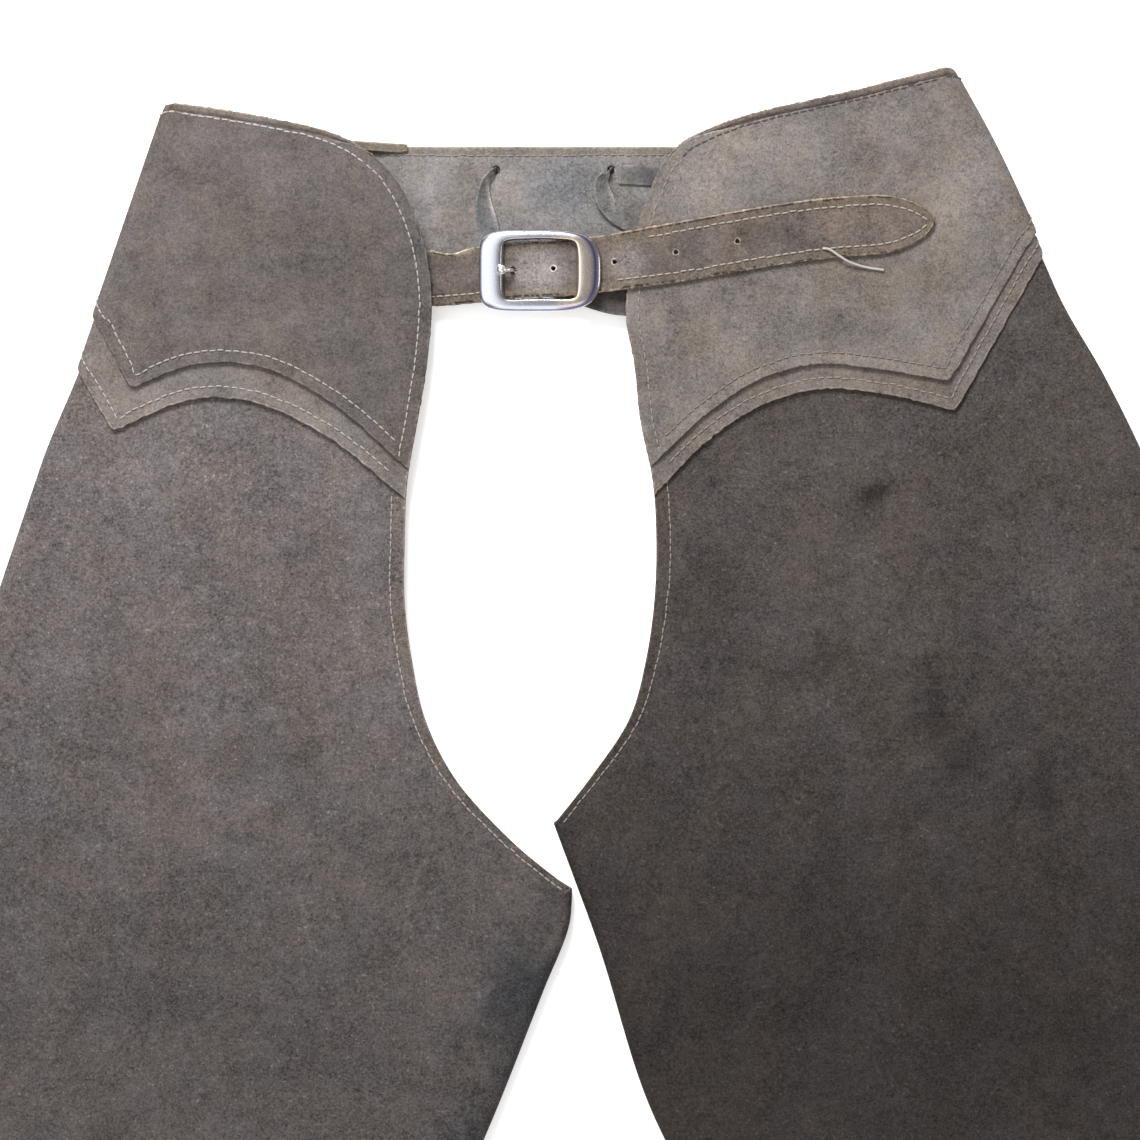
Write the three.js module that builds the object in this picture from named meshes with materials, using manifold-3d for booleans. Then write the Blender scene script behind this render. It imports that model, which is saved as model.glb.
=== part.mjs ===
// Western chaps of rough suede, laid flat on their back: two open-seated legs, layered
// yokes, a back belt with a lace, and a pointed strap in a chromed buckle.
// Millimetres, +X to the right of the front, +Y towards the waist, +Z up from the ground.
import * as THREE from "three";
import { mergeVertices } from "three/addons/utils/BufferGeometryUtils.js";
import Module from "manifold-3d";

const wasm = await Module();
wasm.setup();

// Leather
const legWall = 1.7;
const yokePly = 1.5;
const beltWall = 1.5;
const strapWall = 2.4;
const loopWall = 1.6;
const laceWall = 1.3;
const plyGap = 0.3;
const layGap = 0.5;

// How the legs lie: a rounded fold on each side, a low crown and a front edge that sinks
const foldRadius = 7;
const frontCrown = 3;
const edgeDroop = 5;
const cornerRound = 6;
const waistInset = 5;

// Legs: flat width at the crotch, waist to crotch, and crotch to hem
const waistSpan = 462;
const leftWidth = 372;
const leftRise = 352;
const rightWidth = 381;
const rightRise = 316;
const inseam = 740;

// Belt, straps and laces, and where the straps meet the legs' front edges
const leftEdgeX = -75.5;
const rightEdgeX = 38;
const beltHeight = 84;
const beltLeft = -165;
const beltRight = 135;
const strapWidth = 33;
const strapRun = 291.9;
const strapTuck = 34;
const tipLength = 35;
const prongOffset = 15.7;
const firstHoleGap = 23.5;
const holeSpacing = 35.5;
const holeSize = 4.2;
const loopWidth = 31.5;
const loopTuck = 38;
const laceWidth = 11.5;
const laceHole = 6.4;
const laceLeft = -37.1;
const laceSpan = 67;
const laceDrop = 13.5;
const laceTail = 26;
const laceEndRun = 40;
const hemStripX = -88.7;
const hemStripWidth = 4.6;
const hemStripLength = 46;

// Buckle
const buckleX = -11.6;
const buckleY = -73.1;
const frameLength = 70.8;
const frameHeight = 47.6;
const frameThick = 4.2;
const frameTilt = 1.5;
const windowLength = 42;
const windowHeight = 34;
const barSize = 3;
const frameLean = 1.2;
const prongSize = 2.5;
const prongSlot = 5.5;
const barShift = 1.2;
const barDrop = 2.8;
const frameSettle = 18;
const prongLanding = 22;

// A leg's tables hold shares of its width and rise, measured from its waist corner:
// across the leg towards the crotch, and down the outside fold. The fold and inseam rows
// are [share down, share of width]; past the crotch the share down goes on in inseams.
const legs = {
  left: {
    inward: 1,
    lean: 18.85,
    cornerHeight: 21.5,
    width: leftWidth,
    rise: leftRise,
    fold: [[0, 0], [1, 0], [1.4, 0], [2, 0.04]],
    inner: [[1, 1], [1.03, 1.014], [1.08, 1.009], [1.2, 0.997], [1.6, 0.93], [2, 0.84]],
    waist: [[0.094, -0.03], [0.177, -0.043], [0.247, -0.051], [0.295, -0.049], [0.335, -0.039]],
    front: [
      [0.37, -0.021], [0.404, 0.006], [0.438, 0.046], [0.469, 0.095], [0.495, 0.156],
      [0.519, 0.251], [0.535, 0.35], [0.55, 0.449], [0.576, 0.544], [0.606, 0.638],
      [0.647, 0.728], [0.697, 0.814], [0.772, 0.891], [0.885, 0.957], [0.95, 0.984],
    ],
    seatTop: [0.3, -0.05],
    seat: [
      [0.36, 0.02], [0.41, 0.2], [0.43, 0.4], [0.47, 0.6], [0.56, 0.77], [0.7, 0.89], [0.86, 0.965],
    ],
    yoke: {
      foldDown: 0.385, point: [0.097, 0.455],
      edge: [[0.18, 0.383], [0.28, 0.352], [0.4, 0.37]],
    },
    band: {
      foldDown: 0.472, point: [0.092, 0.531],
      edge: [[0.19, 0.441], [0.28, 0.411], [0.41, 0.425]],
    },
    yokeFront: 0.43,
    bandFront: 0.478,
    yokeBack: [0.277, 0.36],
    bandBack: [0.12, 0.12],
    yokeBackDown: 0.22,
    bandBackDown: 0.39,
    swells: [
      { across: 0.45, down: 1.25, wide: 0.16, long: 0.3, high: 3 },
      { across: 0.7, down: 1.7, wide: 0.12, long: 0.35, high: -2.4 },
      { across: 0.3, down: 2.1, wide: 0.13, long: 0.4, high: 2.6 },
      { across: 0.62, down: 2.55, wide: 0.12, long: 0.35, high: 2.2 },
    ],
  },
  right: {
    inward: -1,
    lean: 22,
    cornerHeight: 42.3,
    width: rightWidth,
    rise: rightRise,
    fold: [[0, 0], [0.16, -0.015], [0.36, -0.023], [0.52, -0.028], [0.75, -0.044], [1, -0.05],
      [1.3, -0.045], [2, 0.03]],
    inner: [[1, 1], [1.1, 1.006], [1.25, 1.025], [1.6, 0.95], [2, 0.85]],
    waist: [[0.095, -0.03], [0.153, -0.039], [0.223, -0.053], [0.292, -0.067], [0.348, -0.074],
      [0.39, -0.075], [0.424, -0.072], [0.449, -0.061]],
    front: [
      [0.475, -0.042], [0.502, -0.011], [0.529, 0.025], [0.551, 0.064], [0.575, 0.112],
      [0.598, 0.159], [0.612, 0.203], [0.622, 0.267], [0.647, 0.374], [0.664, 0.485],
      [0.693, 0.589], [0.73, 0.69], [0.776, 0.786], [0.833, 0.875], [0.92, 0.947], [0.955, 0.972],
    ],
    seatTop: [0.4, -0.071],
    seat: [
      [0.45, 0.02], [0.5, 0.203], [0.52, 0.406], [0.56, 0.609], [0.64, 0.782], [0.76, 0.894],
      [0.88, 0.97],
    ],
    yoke: {
      foldDown: 0.346, point: [0.19, 0.521],
      edge: [[0.28, 0.454], [0.37, 0.4], [0.46, 0.388], [0.55, 0.41]],
    },
    band: {
      foldDown: 0.389, point: [0.198, 0.575],
      edge: [[0.293, 0.495], [0.38, 0.444], [0.47, 0.433], [0.565, 0.456]],
    },
    yokeFront: 0.459,
    bandFront: 0.51,
    yokeBack: [0.362, 0.455],
    bandBack: [0.12, 0.12],
    yokeBackDown: 0.225,
    bandBackDown: 0.32,
    swells: [
      { across: 0.5, down: 1.3, wide: 0.15, long: 0.3, high: 2.8 },
      { across: 0.28, down: 1.75, wide: 0.12, long: 0.35, high: -2.2 },
      { across: 0.66, down: 2.15, wide: 0.13, long: 0.4, high: 2.6 },
      { across: 0.4, down: 2.6, wide: 0.12, long: 0.35, high: 2.2 },
    ],
  },
};

// Grid counts
const frontColumns = 12;
const foldColumns = 6;
const backColumns = 6;
const riseRows = 14;
const inseamRows = 12;
const yokeRows = 5;
const rowCrowding = 1.15;

const suede = (name, colour) => {
  const material = new THREE.MeshStandardMaterial({ color: colour, roughness: 0.95, metalness: 0 });
  material.name = name;
  return material;
};
const legSuede = suede("leg_suede", 0x675f5c);
const yokeSuede = suede("yoke_suede", 0x7b7471);
const strapSuede = suede("strap_suede", 0x80776f);
const beltSuede = suede("belt_suede", 0x8b8888);
const chrome = new THREE.MeshStandardMaterial({ color: 0xd9dade, roughness: 0.12, metalness: 1 });
chrome.name = "chrome";

const mix = (a, b, t) => a + (b - a) * t;
const steps = (count) => Array.from({ length: count + 1 }, (_, k) => k / count);
const inner = (count) => steps(count).slice(1, -1);
const smooth = (from, to, x) => {
  const t = Math.min(1, Math.max(0, (x - from) / (to - from)));
  return t * t * (3 - 2 * t);
};

// Value at x of a smooth run through [x, value] rows.
const along = (rows, x) => {
  const last = rows.length - 1;
  if (x <= rows[0][0]) return rows[0][1];
  if (x >= rows[last][0]) return rows[last][1];
  const i = rows.findIndex((row) => row[0] > x) - 1;
  const slope = (k) => {
    const low = rows[Math.max(k - 1, 0)];
    const high = rows[Math.min(k + 1, last)];
    return (high[1] - low[1]) / (high[0] - low[0]);
  };
  const span = rows[i + 1][0] - rows[i][0];
  const t = (x - rows[i][0]) / span;
  const rise = rows[i + 1][1] - rows[i][1];
  const bend = (1 - t) * (slope(i) * span - rise) - t * (slope(i + 1) * span - rise);
  return rows[i][1] + t * rise + t * (1 - t) * bend;
};

// A smooth plan curve through [across, down] points, walked by its length.
const planCurve = (points) => {
  const curve = new THREE.CatmullRomCurve3(
    points.map(([a, d]) => new THREE.Vector3(a, d, 0)), false, "centripetal");
  return (t) => {
    const p = curve.getPointAt(t);
    return [p.x, p.y];
  };
};
const planLine = (from, to) => (t) => [mix(from[0], to[0], t), mix(from[1], to[1], t)];

// The walk along a curve at which it first reaches a given depth.
const walkToDown = (curve, down) => steps(400).find((t) => t > 0 && curve(t)[1] >= down) ?? 1;

// A patch bounded by four curves that share their ends.
const patch = (top, bottom, left, right) => (u, v) =>
  [0, 1].map((k) =>
    mix(top(u)[k], bottom(u)[k], v) + mix(left(v)[k], right(v)[k], u)
    - mix(mix(top(0)[k], top(1)[k], u), mix(bottom(0)[k], bottom(1)[k], u), v));

// Signed volume of a closed mesh, negative when its faces point inwards.
const volumeOf = (positions, triangles) => {
  const at = (i) => new THREE.Vector3(...positions.slice(3 * i, 3 * i + 3));
  let sum = 0;
  for (let i = 0; i < triangles.length; i += 3)
    sum += at(triangles[i]).dot(at(triangles[i + 1]).cross(at(triangles[i + 2]))) / 6;
  return sum;
};

// Leather as a sheet of four-cornered cells. Each corner knows its place at any height
// over the base surface, and the wall is closed between two heights.
class Sheet {
  constructor() {
    this.corners = [];
    this.cells = [];
  }
  corner(place) {
    return this.corners.push(place) - 1;
  }
  row(places) {
    return places.map((place) => this.corner(place));
  }
  join(upper, lower, skip = () => false) {
    for (let i = 0; i + 1 < upper.length; i++)
      if (!skip(i)) this.cells.push([upper[i], upper[i + 1], lower[i + 1], lower[i]]);
  }
  wall(low, high) {
    const count = this.corners.length;
    const positions = [];
    for (const height of [high, low])
      for (const place of this.corners) positions.push(...place(height));
    const edges = new Map();
    const triangles = [];
    for (const [a, b, c, d] of this.cells) {
      triangles.push(a, b, c, a, c, d);
      triangles.push(count + a, count + c, count + b, count + a, count + d, count + c);
      for (const [from, to] of [[a, b], [b, c], [c, d], [d, a]]) edges.set(from + "_" + to, [from, to]);
    }
    for (const [from, to] of edges.values())
      if (!edges.has(to + "_" + from))
        triangles.push(to, from, count + from, to, count + from, count + to);
    if (volumeOf(positions, triangles) < 0) triangles.reverse();
    const geometry = new THREE.BufferGeometry();
    geometry.setAttribute("position", new THREE.Float32BufferAttribute(positions, 3));
    geometry.setIndex(triangles);
    return geometry;
  }
}

// Joins and cuts of closed meshes.
const toSolid = (geometry) => {
  const bare = geometry.index ? geometry.toNonIndexed() : geometry.clone();
  for (const name of Object.keys(bare.attributes)) if (name !== "position") bare.deleteAttribute(name);
  const merged = mergeVertices(bare, 1e-4);
  return new wasm.Manifold(new wasm.Mesh({
    numProp: 3,
    vertProperties: new Float32Array(merged.attributes.position.array),
    triVerts: new Uint32Array(merged.index.array),
  }));
};
const toGeometry = (solid) => {
  const mesh = solid.getMesh();
  const geometry = new THREE.BufferGeometry();
  geometry.setAttribute("position", new THREE.Float32BufferAttribute(mesh.vertProperties, 3));
  geometry.setIndex([...mesh.triVerts]);
  return geometry;
};
const upright = (size, x, y, low, high, sides = 12) =>
  new THREE.CylinderGeometry(size / 2, size / 2, high - low, sides)
    .rotateX(Math.PI / 2)
    .translate(x, y, (low + high) / 2);
const tube = (points, size, sides, steps) => {
  const section = new THREE.Shape();
  for (let k = 0; k < sides; k++) {
    const turn = (2 * Math.PI * k) / sides;
    const x = (size / 2) * Math.cos(turn);
    const y = (size / 2) * Math.sin(turn);
    if (k) section.lineTo(x, y);
    else section.moveTo(x, y);
  }
  section.closePath();
  const path = new THREE.CatmullRomCurve3(points.map((p) => new THREE.Vector3(...p)), false, "centripetal");
  return new THREE.ExtrudeGeometry(section, { steps, bevelEnabled: false, extrudePath: path });
};

const chaps = new THREE.Group();
const addPiece = (name, geometry, material) => {
  const mesh = new THREE.Mesh(geometry, material);
  mesh.name = name;
  chaps.add(mesh);
};

const stackHeight = 2 * (yokePly + plyGap);
const bandLow = plyGap;
const yokeLow = 2 * plyGap + yokePly;

// A leg's lie: where a place across and down the leg is in plan, and how high its front is.
const lieOf = (leg) => {
  const turn = THREE.MathUtils.degToRad(leg.lean);
  const cornerX = (-leg.inward * waistSpan) / 2;
  const scale = ([across, down]) => [across * leg.width, down * leg.rise];
  const downShare = (down) =>
    down <= leg.rise ? down / leg.rise : 1 + (down - leg.rise) / inseam;
  const tuckAt = (down) => stackHeight * (1 - smooth(0.43 * leg.rise, 0.62 * leg.rise, down));
  const foldAt = (down) => leg.width * along(leg.fold, downShare(down)) + tuckAt(down);
  const innerAt = (down) => leg.width * along(leg.inner, downShare(down));
  const waist = planCurve([[foldAt(0) + foldRadius, -cornerRound], ...leg.waist.map(scale)]);
  const waistWalk = steps(80).map(waist);
  const waistAt = (across) => waistWalk.find((p) => p[0] >= across)?.[1] ?? waistWalk.at(-1)[1];
  const crotch = [leg.width - foldRadius, leg.rise];
  const front = planCurve([...[leg.waist.at(-1), ...leg.front].map(scale), crotch]);
  const frontWalk = steps(120).map(front);
  const frontAt = (down) => frontWalk.find((p) => p[1] >= down)?.[0] ?? crotch[0];
  const edgeRows = steps(14).map((t) => {
    const down = leg.rise * mix(0.16, 1, t);
    return [down, t === 1 ? crotch[0] : frontAt(down)];
  });
  const edgeAt = (down) => (down > leg.rise ? innerAt(down) - foldRadius : along(edgeRows, down));
  const liftAt = (down) => stackHeight * (1 - smooth(0.6 * leg.rise, 0.9 * leg.rise, down));
  const swell = (across, down) =>
    leg.swells.reduce((sum, s) => {
      const x = (across / leg.width - s.across) / s.wide;
      const y = (down / leg.rise - s.down) / s.long;
      return sum + s.high * Math.exp(-x * x - y * y);
    }, 0);
  const frontHeight = (across, down) => {
    const start = foldAt(down) + foldRadius;
    const x = Math.min(1, Math.max(0, (across - start) / (edgeAt(down) - start)));
    const sink = edgeDroop * (1 - smooth(0.72 * leg.rise, leg.rise, down)) * smooth(0.35, 1, x);
    const calm = smooth(0, 0.12, x) * smooth(0, 0.12, 1 - x);
    return liftAt(down) + 2 * foldRadius + frontCrown * Math.sin(Math.PI * x) - sink
      + calm * swell(across, down);
  };
  const plan = (across, down) => [
    cornerX + leg.inward * (across * Math.cos(turn) - down * Math.sin(turn)),
    leg.cornerHeight - across * Math.sin(turn) - down * Math.cos(turn),
  ];
  const unplan = (x, y) => {
    const right = (x - cornerX) * leg.inward;
    const below = leg.cornerHeight - y;
    return [
      right * Math.cos(turn) + below * Math.sin(turn),
      below * Math.cos(turn) - right * Math.sin(turn),
    ];
  };
  return {
    plan, unplan, scale, foldAt, innerAt, waist, waistAt, front, crotch, frontHeight,
    onFront: ([a, d]) => (h) => [...plan(a, d), frontHeight(a, d) + h],
    onBack: ([a, d]) => (h) => [...plan(a, d), liftAt(d) - h],
    onFold: (angle, d) => (h) => {
      const a = foldAt(d) + foldRadius - (foldRadius + h) * Math.sin(angle);
      return [...plan(a, d), liftAt(d) + foldRadius + (foldRadius + h) * Math.cos(angle)];
    },
    onInseam: (angle, d) => (h) => {
      const a = innerAt(d) - foldRadius + (foldRadius + h) * Math.sin(angle);
      return [...plan(a, d), liftAt(d) + foldRadius + (foldRadius + h) * Math.cos(angle)];
    },
  };
};

const cornerDip = (angle) => -cornerRound * (1 - Math.sin(angle));

// One leg: front, outside fold and back above the crotch, and a closed tube below it.
const makeLeg = (side) => {
  const leg = legs[side];
  const lie = lieOf(leg);
  const foldSide = (v) => {
    const down = mix(-cornerRound, leg.rise, v);
    return [lie.foldAt(down) + foldRadius, down];
  };
  const crotchRow = planLine(foldSide(1), lie.crotch);
  const front = patch(lie.waist, crotchRow, foldSide, lie.front);
  const seatCurve = planCurve([lie.scale(leg.seatTop), ...leg.seat.map(lie.scale), lie.crotch]);
  const backWaist = planLine(foldSide(0), lie.scale(leg.seatTop));
  const back = patch(backWaist, crotchRow, foldSide, seatCurve);
  const sheet = new Sheet();
  const foldDown = (angle, v) => mix(cornerDip(angle), leg.rise, v);
  const openRow = (v) => [
    ...steps(frontColumns).reverse().map((u) => lie.onFront(front(u, v))),
    ...inner(foldColumns).map((t) => lie.onFold(t * Math.PI, foldDown(t * Math.PI, v))),
    ...steps(backColumns).map((u) => lie.onBack(back(u, v))),
  ];
  const tubeRow = (down) => {
    const across = (u) => mix(lie.foldAt(down) + foldRadius, lie.innerAt(down) - foldRadius, u);
    return [
      ...steps(frontColumns).reverse().map((u) => lie.onFront([across(u), down])),
      ...inner(foldColumns).map((t) => lie.onFold(t * Math.PI, down)),
      ...steps(backColumns).map((u) => lie.onBack([across(u), down])),
      ...inner(foldColumns).reverse().map((t) => lie.onInseam(t * Math.PI, down)),
    ];
  };
  let above = null;
  for (const v of steps(riseRows).slice(0, -1)) {
    const row = sheet.row(openRow(v ** rowCrowding));
    if (above) sheet.join(above, row);
    above = row;
  }
  for (const t of steps(inseamRows)) {
    const row = sheet.row(tubeRow(leg.rise + t ** rowCrowding * inseam));
    if (t === 0) sheet.join(above, row.slice(0, above.length));
    else sheet.join([...above, above[0]], [...row, row[0]]);
    above = row;
  }
  addPiece(side + "_leg", sheet.wall(-legWall, 0), legSuede);
  return lie;
};

// One yoke layer, from the front edge round the fold to its plain end on the back.
const makeYoke = (side, lie, layer) => {
  const leg = legs[side];
  const { shape, frontDown, backEnd, backDown, inset, low } = layer;
  const waistDown = (u) => inset * (1 - smooth(0.7, 1, u));
  const top = (u) => {
    const [a, d] = lie.waist(u);
    return [a, d + waistDown(u)];
  };
  const foldLow = shape.foldDown * leg.rise;
  const foldSide = (low) => (v) => {
    const down = mix(-cornerRound + inset, low, v);
    return [lie.foldAt(down) + foldRadius, down];
  };
  const frontFold = foldSide(foldLow);
  const frontEnd = walkToDown(lie.front, frontDown * leg.rise);
  const frontSide = (v) => lie.front(v * frontEnd);
  const point = lie.scale(shape.point);
  const pointAt = Math.max(1, Math.round(frontColumns * 0.2)) / frontColumns;
  const toPoint = planLine(frontFold(1), point);
  // Round the fold the lower edge keeps the slope that it has up from its point.
  const slope = (point[1] - foldLow) / (point[0] - frontFold(1)[0]);
  const lowRound = (angle) => foldLow - slope * foldRadius * angle;
  const backFold = foldSide(lowRound(Math.PI));
  const scallop = planCurve([point, ...shape.edge.map(lie.scale), frontSide(1)]);
  const bottom = (u) => (u < pointAt ? toPoint(u / pointAt) : scallop((u - pointAt) / (1 - pointAt)));
  const front = patch(top, bottom, frontFold, frontSide);
  const backTop = [backEnd[0] * leg.width, lie.waistAt(backEnd[0] * leg.width) + inset];
  const backLow = [backEnd[1] * leg.width, backDown * leg.rise];
  const back = patch(planLine(backFold(0), backTop), planLine(backFold(1), backLow), backFold,
    planLine(backTop, backLow));
  const sheet = new Sheet();
  const columns = Math.max(2, Math.round(backColumns * backEnd[0] * 2));
  let above = null;
  for (const v of steps(yokeRows)) {
    const row = sheet.row([
      ...steps(frontColumns).reverse().map((u) => lie.onFront(front(u, v))),
      ...inner(foldColumns).map((t) => {
        const down = mix(cornerDip(t * Math.PI) + inset, lowRound(t * Math.PI), v);
        return lie.onFold(t * Math.PI, down);
      }),
      ...steps(columns).map((u) => lie.onBack(back(u, v))),
    ]);
    if (above) sheet.join(above, row);
    above = row;
  }
  addPiece(layer.name, sheet.wall(low, low + yokePly), yokeSuede);
};

const lies = { left: makeLeg("left"), right: makeLeg("right") };
for (const side of ["left", "right"]) {
  const leg = legs[side];
  makeYoke(side, lies[side], {
    name: side + "_under_yoke", shape: leg.band, frontDown: leg.bandFront, backEnd: leg.bandBack,
    backDown: leg.bandBackDown, inset: 0, low: bandLow,
  });
  makeYoke(side, lies[side], {
    name: side + "_yoke", shape: leg.yoke, frontDown: leg.yokeFront, backEnd: leg.yokeBack,
    backDown: leg.yokeBackDown, inset: waistInset, low: yokeLow,
  });
}

// The back belt lies between each leg's back and the yoke that covers its end.
const beltLow = plyGap + yokePly;
const beltHigh = beltLow + beltWall;
const laceHoles = [laceLeft, laceLeft + laceSpan].map((x) => [x, -laceDrop]);
const makeBelt = () => {
  const sheet = new Sheet();
  let above = null;
  for (const v of steps(3)) {
    const row = sheet.row(steps(10).map((u) => (h) =>
      [mix(beltRight, beltLeft, u), mix(0, -beltHeight, v), beltLow + h]));
    if (above) sheet.join(above, row);
    above = row;
  }
  let belt = toSolid(sheet.wall(0, beltWall));
  for (const [x, y] of laceHoles) belt = belt.subtract(toSolid(upright(laceHole, x, y, 0, 2 * beltHigh)));
  addPiece("back_belt", toGeometry(belt), beltSuede);
};
makeBelt();

// Heights of the front straps: the leg's edge, the yoke's top there and what runs under them.
const legEdgeTop = stackHeight + 2 * foldRadius - edgeDroop;
const underEdge = legEdgeTop - legWall - plyGap;
const barHeight = legEdgeTop - barDrop;
const eyeTop = barHeight + barSize / 2 + plyGap + prongSize;
const strapOverBar = eyeTop + layGap;
const strapLowRows = [
  [leftEdgeX - 10, underEdge - strapWall],
  [leftEdgeX + 3, underEdge - strapWall],
  [buckleX - frameLength / 2 + 5, strapOverBar - 2.2],
  [buckleX - windowLength / 2 + 3, strapOverBar - 1.4],
  [buckleX, strapOverBar],
  [buckleX + windowLength / 2 + 7, strapOverBar + 0.1],
  [rightEdgeX - 10, strapOverBar + 0.7],
  [rightEdgeX - 3, legEdgeTop + stackHeight + layGap],
];
// The strap from the left leg's edge to its tip: [share of its run, height of its middle]
// and [share of its run, share of its width].
const strapLine = [
  [-0.1, -77.4], [0, -77], [0.1, -74.9], [0.17, -72.6], [0.25, -71.6], [0.34, -69], [0.5, -62],
  [0.68, -53], [0.8, -48.6], [0.92, -46.2], [1, -45],
];
const strapGirth = [[0, 1], [0.35, 1], [0.5, 1.06], [1, 1.06]];
const strapStart = leftEdgeX - strapTuck;
const strapEnd = leftEdgeX + strapRun;
const overYoke = (x, y) => {
  const lie = lies.right;
  const [a, d] = lie.unplan(x, y);
  return lie.frontHeight(a, d) + stackHeight + layGap;
};
const strapLow = (x, y) => {
  const free = along(strapLowRows, x);
  if (x <= rightEdgeX - 3) return free;
  return Math.max(free, overYoke(x, y));
};
const tipStart = strapEnd - tipLength;
// The strap narrows to a rounded point: how fast it starts to, and how blunt its end is.
const tipOnset = 1.8;
const tipBluntness = 0.58;
const strapPoint = (x, v) => {
  const toTip = Math.max(0, (x - tipStart) / tipLength);
  const taper = (1 - 0.99 * toTip ** tipOnset) ** tipBluntness;
  const offset = (v - 0.5) * strapWidth * along(strapGirth, (x - leftEdgeX) / strapRun) * taper;
  const lineAt = (at) => along(strapLine, (at - leftEdgeX) / strapRun);
  const turn = Math.atan((lineAt(x + 1) - lineAt(x - 1)) / 2);
  return [x - offset * Math.sin(turn), lineAt(x) + offset * Math.cos(turn)];
};
const strapStations = [
  ...steps(30).map((t) => mix(strapStart, tipStart, t)),
  ...[0.22, 0.42, 0.6, 0.75, 0.87, 0.95, 1].map((t) => mix(tipStart, strapEnd, t)),
];
// The prong's hole, then the spare holes towards the tip.
const strapHoleAt = (k) => {
  const past = k > 0 ? firstHoleGap + (k - 1) * holeSpacing : 0;
  const x = buckleX - prongOffset + past;
  return [x, strapPoint(x, 0.5)[1]];
};
const makeBillet = () => {
  const sheet = new Sheet();
  let above = null;
  for (const x of strapStations) {
    const row = sheet.row(steps(4).map((v) => {
      const [px, py] = strapPoint(x, v);
      return (h) => [px, py, strapLow(px, py) + h];
    }));
    if (above) sheet.join(above, row);
    above = row;
  }
  let strap = toSolid(sheet.wall(0, strapWall));
  for (let k = 0; k < 5; k++) {
    const [x, y] = strapHoleAt(k);
    const low = strapLow(x, y) - strapWall;
    strap = strap.subtract(toSolid(upright(holeSize, x, y, low, low + 3 * strapWall, 10)));
  }
  addPiece("billet_strap", toGeometry(strap), strapSuede);
};
makeBillet();

// The buckle's own strap: two plies that loop round the centre bar, with a slot for the prong.
const makeLoop = () => {
  const nearRadius = barSize / 2 + plyGap;
  const endX = rightEdgeX + loopTuck;
  const topPly = underEdge - loopWall;
  const profile = [];
  const slotReach = nearRadius + prongSize + 1.2;
  const lead = [[endX, topPly], [rightEdgeX - 4, topPly], [rightEdgeX - 20, topPly + 0.5],
    [buckleX + 2 * slotReach, barHeight + nearRadius - 0.2],
    [buckleX + slotReach, barHeight + nearRadius]];
  for (const [x, z] of lead) profile.push([x, z, 0, 1]);
  const turns = 8;
  for (let k = 0; k <= turns; k++) {
    const angle = Math.PI / 2 + (Math.PI * k) / turns;
    const x = Math.cos(angle);
    const z = Math.sin(angle);
    profile.push([buckleX + nearRadius * x, barHeight + nearRadius * z, x, z]);
  }
  const lowPly = topPly - plyGap;
  const tail = [[buckleX + slotReach, barHeight - nearRadius], [rightEdgeX - 18, lowPly],
    [rightEdgeX - 4, lowPly], [endX, lowPly]];
  for (const [x, z] of tail) profile.push([x, z, 0, -1]);
  const sheet = new Sheet();
  const middle = buckleY + barShift;
  const slotY = strapHoleAt(0)[1] - middle;
  const cuts = [-loopWidth / 2, slotY - prongSlot / 2, slotY + prongSlot / 2, loopWidth / 2];
  const fall = (x) => -11 * smooth(buckleX, rightEdgeX, x) - 0.22 * Math.max(0, x - rightEdgeX);
  const slotFrom = lead.length - 1;
  const slotTo = lead.length + turns + 1;
  let above = null;
  profile.forEach(([x, z, nx, nz], k) => {
    const row = sheet.row(cuts.map((y) => (h) => [x + nx * h, middle + y + fall(x), z + nz * h]));
    if (above) sheet.join(above, row, (i) => i === 1 && k > slotFrom && k <= slotTo);
    above = row;
  });
  addPiece("buckle_strap", sheet.wall(0, loopWall), strapSuede);
};
makeLoop();

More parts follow.
